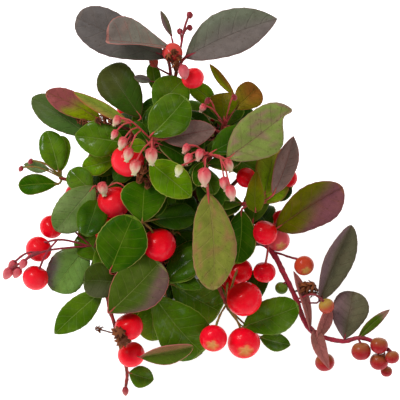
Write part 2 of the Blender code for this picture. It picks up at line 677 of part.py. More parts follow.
def pot_shape():
    """Return the pot's turned shape: a tapered wall with a banded rim."""
    band = POT_HEIGHT - RIM_DEPTH
    profile = ((0, 0), (POT_FOOT_RADIUS - FOOT_BEVEL, 0), (wall_radius(FOOT_BEVEL), FOOT_BEVEL),
               (wall_radius(band), band), (RIM_RADIUS - RIM_BEVEL, band), (RIM_RADIUS, band + RIM_BEVEL),
               (RIM_RADIUS, POT_HEIGHT - RIM_LIP), (RIM_RADIUS - RIM_BEVEL, POT_HEIGHT),
               (wall_radius(POT_HEIGHT) - POT_WALL, POT_HEIGHT),
               (wall_radius(POT_FLOOR) - POT_WALL, POT_FLOOR), (0, POT_FLOOR))
    return spun_shape(profile, POT_SIDES)


def make_pot(material):
    """Return the pot with drain holes through its floor."""
    pot = make_object("pot", pot_shape(), material)
    for index in range(DRAIN_COUNT):
        turn = math.tau * (index + 0.5) / DRAIN_COUNT
        middle = Vector((math.cos(turn), math.sin(turn), 0)) * DRAIN_RING
        ends = [middle - Vector((0, 0, 2)), middle + Vector((0, 0, POT_FLOOR + 2))]
        cutter = make_object("drain_cutter", tube(ends, [DRAIN_RADIUS] * 2, DRAIN_SIDES), material)
        cutter.hide_render = True
        cutter.display_type = "WIRE"
        drain = pot.modifiers.new("drain", "BOOLEAN")
        drain.operation = "DIFFERENCE"
        drain.object = cutter
        drain.solver = "EXACT"
        bpy.context.view_layer.objects.active = pot
        bpy.ops.object.modifier_apply(modifier=drain.name)
        bpy.data.objects.remove(cutter, do_unlink=True)
    tidy_mesh(pot)
    return pot


def peat_shape():
    """Return the peat that fills the pot to just under its rim."""
    low = POT_FLOOR + GAP
    profile = ((0, low), (wall_radius(low) - POT_WALL - GAP, low),
               (wall_radius(PEAT_TOP - PEAT_EDGE_DROP) - POT_WALL - GAP, PEAT_TOP - PEAT_EDGE_DROP),
               (wall_radius(PEAT_TOP) - POT_WALL - GAP - PEAT_EDGE_WIDTH, PEAT_TOP), (0, PEAT_TOP))
    return spun_shape(profile, POT_SIDES)


def grow_plant():
    """Return the grown plant and the shapes of its stems."""
    plant = Plant()
    plant.keep("pot", pot_shape())
    plant.keep("peat", peat_shape())
    stems = {shoot.name: plant.grow_stem(shoot) for shoot in SHOOTS}
    for kind in ("leaves", "fruit"):
        for shoot in SHOOTS:
            if kind == "leaves":
                for leaf in shoot.leaves:
                    plant.grow_leaf(shoot, leaf)
            else:
                for berry in shoot.berries:
                    plant.grow_fruit(shoot, berry, True)
                for flower in shoot.flowers:
                    plant.grow_fruit(shoot, flower, False)
    for seed, shoot in enumerate(SHOOTS):
        plant.fill(shoot, seed)
    return plant, stems


def main():
    """Build the whole object."""
    clear_scene()
    plastic = make_material("pot_plastic", (0.02, 0.02, 0.022), 0.5)
    peat = make_material("peat", (0.06, 0.035, 0.02), 0.95)
    wood = make_material("stem_bark", (0.24, 0.09, 0.05), 0.7)
    foliage = make_material("foliage", (0.07, 0.2, 0.03), 0.45)
    make_pot(plastic)
    make_object("peat", peat_shape(), peat)
    plant, stems = grow_plant()
    for name, shape in stems.items():
        make_object(name + "_stem", shape, wood, True)
    for name, shapes in plant.shapes.items():
        fuse(name + "_leaves", shapes, foliage)


CROWN = face_axes(FACE_BEARING, FACE_RISE)
main()
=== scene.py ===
"""Wintergreen plant in a small plain nursery pot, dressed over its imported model.

The plant grows here by the rule that its solids follow: shoots rise from the peat, leaves and fruit
shift a little until their place is free, and seeded leaves fill the crown out. Each place is then
dressed with a fine leaf, berry or flower. Lengths are in millimetres until a piece is made.
"""

import logging
import math
import random
from collections.abc import Sequence
from dataclasses import dataclass, field, replace
from enum import Enum
from itertools import chain, product
from typing import TypeAlias

import bmesh
import bpy
from mathutils import Matrix, Vector, noise
from mathutils.bvhtree import BVHTree


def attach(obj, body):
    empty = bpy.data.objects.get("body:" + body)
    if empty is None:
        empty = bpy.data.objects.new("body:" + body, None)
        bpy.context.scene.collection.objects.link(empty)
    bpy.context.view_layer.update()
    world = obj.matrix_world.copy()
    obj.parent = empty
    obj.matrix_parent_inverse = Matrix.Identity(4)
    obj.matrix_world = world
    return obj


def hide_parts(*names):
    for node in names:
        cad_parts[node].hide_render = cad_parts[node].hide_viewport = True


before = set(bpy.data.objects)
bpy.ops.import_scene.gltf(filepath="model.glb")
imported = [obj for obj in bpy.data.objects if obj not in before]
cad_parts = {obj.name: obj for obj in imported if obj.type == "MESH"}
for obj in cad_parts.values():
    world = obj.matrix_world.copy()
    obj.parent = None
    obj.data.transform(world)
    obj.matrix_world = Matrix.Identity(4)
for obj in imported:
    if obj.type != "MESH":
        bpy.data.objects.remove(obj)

log = logging.getLogger("plant")

Number: TypeAlias = float | int
Point: TypeAlias = tuple[float, float, float]
Colour: TypeAlias = tuple[float, float, float]
Steps: TypeAlias = tuple[int, int, int]
Profile: TypeAlias = Sequence[tuple[float, float]]
Shape: TypeAlias = tuple[list[Vector], list[tuple[int, ...]]]
Term: TypeAlias = "Signal | Number"
Feed: TypeAlias = "Signal | Number | Colour"
Shell: TypeAlias = bmesh.types.BMesh

# A millimetre in metres, the gap kept between solids, and the distances under which two places are one
METRES = 0.001
GAP = 0.3
SEAM = 1e-4
SAME_PLACE = 0.01

# Pot and peat
POT_HEIGHT = 55.0
POT_FOOT_RADIUS = 22.0
POT_MOUTH_RADIUS = 29.6
POT_WALL = 1.2
POT_FLOOR = 1.6
RIM_RADIUS = 31.0
RIM_DEPTH = 7.0
RIM_LIP = 1.0
FOOT_BEVEL = 1.2
RIM_BEVEL = 0.6
POT_SIDES = 32
DRAIN_COUNT = 4
DRAIN_RADIUS = 2.6
DRAIN_RING = 13.5
PEAT_TOP = 50.0
PEAT_EDGE_DROP = 1.0
PEAT_EDGE_WIDTH = 1.5

# Stems
STEM_FOOT_RADIUS = 1.5
STEM_TIP_RADIUS = 0.95
STEM_FLARE = 1.5
STEM_SIDES = 6
STEM_STEPS = 6
TUBE_SIDE = Vector((0.31, 0.95, 0.1))
PATH_STEPS = 60
KNOT_STEPS = 12
JOINT_REACH = 1.0
TWIG_SIDES = 4
TWIG_STEPS = 4
TWIG_STEP_LENGTH = 7.0
TWIG_TIP_RADIUS = 0.7
ROOT_STEP = 0.55
ROOTS_IN_WHORL = 9
STALK_RADIUS = 0.42
STALK_SIDES = 3
ROOT_SINK = 0.35
ROOT_RADIUS = 0.24

# Leaves: half width at stations along the blade, as fractions
LEAF_STATIONS = ((0.0, 0.07), (0.27, 0.76), (0.6, 1.0), (0.88, 0.64))
FILL_STATIONS = ((0.0, 0.07), (0.4, 0.95), (0.8, 0.85))
LEAF_THICKNESS = 0.02
LEAF_THICKNESS_LEAST = 0.5
PETIOLE_HALF_WIDTH = 0.45
OWN_BLADE_START = 1
PETIOLE_LENGTH = 1.0
MITRE_LEAST = 0.3

# Fruit and blossom
BERRY_FLATNESS = 0.94
BERRY_RING_ANGLES = (28, 73, 118, 155)
BERRY_SIDES = 7
FLOWER_RINGS = ((0.0, 0.35), (0.38, 1.0), (1.0, 0.35))
FLOWER_SIDES = 5
FLOWER_WIDTH = 0.66
FRUIT_SWING = 0.5
FRUIT_NOD = 0.45
FRUIT_CROWN = 0.36
STALK_END_SINK = 0.4
STALK_BEND = 0.6
STALK_OWN_START = 0.4

# The crown's face leans 30 degrees from level, toward the light in front of the plant
FACE_BEARING = -90.0
FACE_RISE = 60.0
RIM_CENTRE = Vector((0.0, 0.0, POT_HEIGHT))
UPWARD = Vector((0.0, 0.0, 1.0))

# Ways a leaf or a berry may shift, in order, until nothing of another shoot is in its place
LEAF_SHIFTS = ((0, 0), (6, 0), (-6, 0), (12, 0), (-12, 0), (18, 0), (-18, 0), (8, 7), (8, -7),
               (-8, 7), (-8, -7), (26, 0), (-26, 0), (16, 10), (16, -10), (-16, 10), (-16, -10))
FRUIT_SHIFTS = (0.0, 1.5, -1.5, 3.0, -3.0, 5.0, -5.0, 7.0, -7.0)
STALK_ARCHES = (0.18, 0.4, -0.05)

# Filling leaves: reach from the middle of the crown's face, each 22.5 degrees, and open windows
FACE_MIDDLE = (16.7, 5.8)
REACH = (47, 42, 46, 46, 44, 48, 50, 52, 55, 57, 54, 52, 56, 52, 30, 36)
SKY_WINDOWS = ((32, 14.6, 4.2), (-5.8, -53.3, 4.2), (28.3, -46.3, 3.6), (24.6, -44.2, 3),
               (42.5, -15.8, 4.2), (50, -25.8, 7.8), (-38.8, -10.4, 5), (-5.8, 52.5, 3),
               (-0.8, 67, 3.5), (64, -42, 5))
GOLDEN_TURN = 137.5
FILL_TRIES = 7
FILL_LENGTH = (15.0, 22.0)
FILL_WIDTH = (0.52, 0.68)
FILL_FOLD = (4, 14)
FILL_CURL = (15, 35)
FILL_PITCH = (-22.0, 24.0)
FILL_SWAY = 20.0
FILL_PETIOLE = 3.0
FILL_LEVELS = 6
FILL_LEVEL_RANGE = (0.1, 0.75)
FILL_FACING = 0.4
LOWEST_LEAF = 6.0

# Leaves that only the dressed plant has, among the ones of its solids
EXTRA_SEED = 100
EXTRA_PER_SHOOT = 7
EXTRA_LENGTH = (10.0, 19.0)
BACK_SEED = 200
BACK_LEAVES = 9
BACK_SHOOTS = ("crown_top", "upper_left", "upper_right", "far_left", "back_left", "back_right")

# Fruit and leaves that these leaves must not hide, as across, up and radius
SHOWN_PLACES = ((-1, -12.5, 7), (-8, -29, 8), (-13, 22, 8), (-19, 5, 6), (27.5, -6, 5.5), (35, -35, 7),
                (50.8, 6.2, 8), (15, -37, 7), (35.5, -8.5, 7))


def srgb(red: int, green: int, blue: int) -> Colour:
    """Return a colour given in steps of 0 to 255 as linear light."""
    shares = (step / 255 for step in (red, green, blue))
    return tuple(share / 12.92 if share <= 0.04045 else ((share + 0.055) / 1.055) ** 2.4
                 for share in shares)


def blend(first: Colour, second: Colour, share: float) -> Colour:
    """Return the colour a share of the way from the first to the second."""
    return tuple(a + (b - a) * share for a, b in zip(first, second))


def soft_step(start: float, end: float, value: float) -> float:
    """Return a smooth change from 0 at the start to 1 at the end, either of which may be the greater."""
    share = min(max((value - start) / (end - start), 0.0), 1.0)
    return share * share * (3 - 2 * share)


class Flush(Enum):
    """Where a leaf's second colour spreads.

    Each gives the values between which it sets in, and what they are summed from: the weights of the
    place across, of the place along, of the nearness to the edge, of the clouds and of the flecks.
    """

    TIP = (0.3, 0.85, 0, 1, 0, 0.25, 0)
    BASE = (0.6, 0.15, 0, 1, 0, 0.25, 0)
    LEFT = (-0.2, 0.7, -1, 0, 0, 0.3, 0)
    RIGHT = (-0.2, 0.7, 1, 0, 0, 0.3, 0)
    EDGES = (0.35, 1.0, 0, 0, 1, 0.3, 0)
    CLOUDS = (-0.25, 0.45, 0, 0, 0, 1, 0)
    HALF = (0.32, 0.58, 0.12, 1, 0, 0.3, 0)
    FAR_RIGHT = (0.5, 0.95, 0.6, 0.7, 0, 0.3, 0)
    END = (0.66, 0.9, 0, 1, 0, 0.1, 0)
    OUTER = (0.24, 0.56, 0.35, 0.7, 0, 0.2, 0)
    MOTTLES = (0.0, 0.45, 0, 0.12, 0, 0.3, 1)

    def share(self, across: float, along: float, cloud: float, fleck: float) -> float:
        """Return how much of the second colour lies at a place on the blade.

        Args:
            across: place from -1 at the left edge to 1 at the right edge.
            along: place from 0 at the base to 1 at the tip.
            cloud: a wandering value about 0.
            fleck: a finer wandering value about 0.

        Returns:
            A share from 0 to 1.
        """
        start, end, *weights = self.value
        places = (across, along, max(abs(across), along), cloud, fleck)
        return soft_step(start, end, sum(weight * place for weight, place in zip(weights, places)))


@dataclass(frozen=True)
class Tint:
    """The colours of one kind of leaf."""

    body: Colour
    second: Colour
    flush: Flush
    rim: Colour
    midrib: Colour
    wet: float = 0.0

    @classmethod
    def of(cls, body: Steps, second: Steps, flush: Flush, rim: Steps, midrib: Steps,
           wet: float = 0.0) -> "Tint":
        """Return a tint whose colours are given in steps of 0 to 255."""
        return cls(srgb(*body), srgb(*second), flush, srgb(*rim), srgb(*midrib), wet)


class Look(Enum):
    """The kinds of leaf on the plant."""

    GLOSSY = Tint.of((68, 104, 6), (86, 118, 16), Flush.CLOUDS, (128, 144, 56), (132, 156, 70), 1.0)
    DEEP = Tint.of((42, 78, 4), (62, 96, 8), Flush.CLOUDS, (96, 114, 34), (92, 122, 46), 0.6)
    BRIGHT = Tint.of((92, 136, 4), (116, 148, 10), Flush.CLOUDS, (176, 182, 74), (150, 172, 76), 0.3)
    YELLOW_RIM = Tint.of((44, 86, 0), (60, 98, 0), Flush.CLOUDS, (180, 168, 88), (122, 146, 44))
    TAN_RIM = Tint.of((34, 68, 0), (48, 80, 4), Flush.CLOUDS, (184, 140, 98), (104, 124, 54))
    GREYED = Tint.of((104, 132, 62), (124, 146, 84), Flush.CLOUDS, (134, 130, 84), (138, 148, 94))
    SHADED = Tint.of((60, 76, 16), (84, 88, 56), Flush.LEFT, (108, 118, 56), (100, 112, 62))
    DARK_OLIVE = Tint.of((54, 82, 16), (74, 78, 34), Flush.TIP, (128, 92, 66), (96, 104, 54))
    PURPLE_GREY = Tint.of((102, 95, 92), (96, 98, 86), Flush.BASE, (134, 96, 88), (116, 102, 94))
    GREY_VIOLET = Tint.of((114, 104, 99), (107, 112, 92), Flush.LEFT, (138, 98, 90), (118, 106, 96))
    BRONZE = Tint.of((136, 132, 118), (130, 118, 110), Flush.TIP, (190, 116, 106), (188, 116, 104))
    PURPLE = Tint.of((132, 104, 96), (137, 112, 103), Flush.CLOUDS, (184, 104, 96), (150, 96, 88))
    GREEN_PURPLE = Tint.of((66, 84, 20), (94, 70, 58), Flush.EDGES, (196, 108, 98), (148, 112, 70))
    FLUSHED_RIGHT = Tint.of((72, 94, 20), (116, 88, 82), Flush.FAR_RIGHT, (206, 112, 104), (128, 136, 70))
    FLUSHED_TIP = Tint.of((102, 100, 0), (134, 80, 86), Flush.OUTER, (150, 82, 66), (142, 88, 58))
    MOTTLED = Tint.of((134, 150, 72), (150, 126, 98), Flush.MOTTLES, (150, 118, 90), (138, 108, 84))
    OLIVE_PINK = Tint.of((124, 130, 50), (146, 112, 68), Flush.MOTTLES, (176, 120, 96), (160, 144, 82))
    OLIVE = Tint.of((94, 107, 0), (120, 104, 8), Flush.TIP, (140, 112, 50), (124, 122, 44))
    LIGHT_OLIVE = Tint.of((146, 184, 24), (160, 140, 50), Flush.EDGES, (160, 120, 80), (134, 144, 60))
    OLIVE_BROWN = Tint.of((144, 150, 18), (158, 114, 36), Flush.RIGHT, (164, 94, 44), (142, 120, 40))
    BROWNED = Tint.of((136, 120, 22), (150, 94, 34), Flush.TIP, (164, 94, 44), (142, 120, 40))
    RED_LIME = Tint.of((128, 144, 4), (140, 72, 70), Flush.HALF, (176, 92, 84), (150, 100, 62))
    RED_EDGED = Tint.of((134, 150, 50), (158, 138, 64), Flush.LEFT, (188, 74, 58), (144, 150, 66))
    FAR_GREEN = Tint.of((70, 100, 40), (82, 98, 50), Flush.TIP, (120, 104, 66), (108, 122, 70))
    PINK_PURPLE = Tint.of((166, 98, 92), (148, 92, 82), Flush.BASE, (184, 108, 102), (178, 100, 94))
    DUSKY = Tint.of((96, 92, 68), (122, 96, 98), Flush.LEFT, (118, 84, 74), (112, 94, 74))
    PINK_ENDED = Tint.of((74, 98, 12), (172, 122, 112), Flush.END, (160, 108, 92), (110, 122, 50))
    FOLDED = Tint.of((114, 150, 68), (108, 98, 94), Flush.FAR_RIGHT, (130, 140, 60), (124, 150, 70), 1.6)
    PINK_RIM = Tint.of((84, 106, 26), (140, 100, 66), Flush.LEFT, (206, 118, 112), (120, 132, 56))
    REDDISH = Tint.of((206, 84, 70), (186, 76, 62), Flush.TIP, (180, 100, 88), (178, 110, 92))
    CURLED = Tint.of((116, 138, 92), (104, 126, 70), Flush.CLOUDS, (146, 122, 100), (142, 146, 114))


FILL_LOOKS = (Look.DEEP, Look.DEEP, Look.GLOSSY, Look.DEEP, Look.YELLOW_RIM, Look.GLOSSY, Look.TAN_RIM)
SIDE_LOOKS = (Look.GLOSSY, Look.DEEP, Look.BRIGHT, Look.GREEN_PURPLE, Look.GLOSSY, Look.YELLOW_RIM,
              Look.GREYED, Look.FLUSHED_RIGHT, Look.DEEP, Look.OLIVE)


@dataclass(frozen=True)
class Axes:
    """The across, up and out directions of a face of the plant."""

    across: Vector
    up: Vector
    out: Vector

    @classmethod
    def facing(cls, bearing: float, rise: float) -> "Axes":
        """Find the axes of a face.

        Args:
            bearing: where it looks to, in degrees from the X axis.
            rise: how far it looks up, in degrees.

        Returns:
            The axes.
        """
        turn = math.radians(bearing)
        lift = math.radians(rise)
        out = Vector((math.cos(lift) * math.cos(turn), math.cos(lift) * math.sin(turn), math.sin(lift)))
        across = Vector((-math.sin(turn), math.cos(turn), 0.0))
        return cls(across, out.cross(across), out)

    def place(self, across: float, up: float, out: float) -> Vector:
        """Return the offset that lies so far across, up and out of the face."""
        return self.across * across + self.up * up + self.out * out


class Form(Enum):
    """The outlines of a blade, as how fast it widens from its base and narrows to its tip."""

    ROUND = (0.82, 0.45)
    OVAL = (0.74, 0.6)
    POINTED = (0.8, 0.84)
    TAPERED = (0.5, 1.0)
    SPOON = (1.3, 0.42)
    WEDGE = (1.0, 0.6)

    def half_width(self, share: float, width: float) -> float:
        """Find the half width of a blade.

        Args:
            share: how far along the blade, from 0 to 1.
            width: the blade's greatest width.

        Returns:
            The half width there.
        """
        shoulder, tip = self.value
        widest = shoulder / (shoulder + tip)
        peak = widest ** shoulder * (1 - widest) ** tip
        half = width / 2 * share ** shoulder * (1 - share) ** tip / peak
        return max(half, PETIOLE_HALF_WIDTH) if share < 0.5 else half


FILL_FORMS = (Form.OVAL, Form.ROUND, Form.OVAL, Form.POINTED)


@dataclass(frozen=True)
class Bite:
    """A piece missing from a leaf's edge, in shares of its width and length, with side 1 for the right."""

    side: int
    along: float
    depth: float
    reach: float


@dataclass(frozen=True)
class Leaf:
    """One leaf: where it grows on its shoot, how it turns, in degrees, and what it looks like."""

    turn: float
    length: float
    width: float
    lean: float = 0.0
    base: Point = (0.0, 0.0, 0.0)
    look: Look = Look.GLOSSY
    form: Form = Form.OVAL
    back: float = 0.0
    fold: float = 10.0
    curl: float = 22.0
    roll: float = 0.0
    bites: tuple[Bite, ...] = ()
    named: bool = True


class Ripeness(Enum):
    """How ripe a berry is, as the colours of its lit side and its stalk side."""

    RED = (srgb(244, 2, 36), srgb(214, 0, 12))
    SCARLET = (srgb(246, 34, 52), srgb(224, 4, 22))
    BLUSHED = (srgb(214, 56, 56), srgb(206, 66, 56))
    PINKISH = (srgb(220, 80, 88), srgb(226, 146, 136))
    ORANGE = (srgb(190, 62, 34), srgb(166, 84, 36))
    DULL = (srgb(160, 24, 32), srgb(150, 86, 44))
    YELLOW = (srgb(176, 64, 44), srgb(172, 140, 62))
    GREEN = (srgb(78, 108, 16), srgb(96, 122, 30))


class Calyx(Enum):
    """What stands on a berry's stalk end: its colour, and its reach as a share of the berry's radius."""

    GREEN = (srgb(96, 98, 30), 0.5)
    OLIVE = (srgb(104, 78, 34), 0.62)
    DRIED = (srgb(96, 48, 22), 0.8)


class Bloom(Enum):
    """How far a flower has opened: base colour, middle colour and mouth colour."""

    OPEN = (srgb(214, 84, 86), srgb(228, 172, 152), srgb(212, 202, 158))
    PINK = (srgb(222, 80, 90), srgb(232, 146, 138), srgb(222, 186, 160))
    PALE = (srgb(186, 184, 104), srgb(224, 220, 174), srgb(224, 222, 188))
    BUD = (srgb(154, 44, 52), srgb(178, 70, 74), srgb(196, 106, 98))
    ROSY = (srgb(204, 78, 88), srgb(220, 104, 110), srgb(216, 118, 120))

    @property
    def closed(self) -> bool:
        """Tell whether the flower is still a bud."""
        return self in (Bloom.BUD, Bloom.ROSY)


@dataclass(frozen=True)
class Fruit:
    """What hangs on a stalk, at an offset from its twig. A joined one shares the stalk before it."""

    across: float
    up: float
    out: float
    size: float
    back: float = 0.0
    joined: bool = field(default=False, kw_only=True)


@dataclass(frozen=True)
class Berry(Fruit):
    """One berry."""

    ripeness: Ripeness = Ripeness.RED
    calyx: Calyx = Calyx.GREEN
    shows_tip: bool = False


@dataclass(frozen=True)
class Flower(Fruit):
    """One flower or bud."""

    bloom: Bloom = Bloom.OPEN


@dataclass(frozen=True)
class Husk(Fruit):
    """A dried brown calyx."""


@dataclass(frozen=True)
class Shoot:
    """One shoot: the line of its stem, the length of its leafy twig and what the twig carries."""

    name: str
    path: tuple[Point, ...]
    twig: float
    leaves: tuple[Leaf, ...] = ()
    berries: tuple[Berry, ...] = ()
    flowers: tuple[Flower, ...] = ()
    husks: tuple[Husk, ...] = ()
    fill: int = 3
    bearing: float = FACE_BEARING
    rise: float = FACE_RISE

    @property
    def axes(self) -> Axes:
        """Return the across, up and out directions of the shoot's face."""
        return Axes.facing(self.bearing, self.rise)


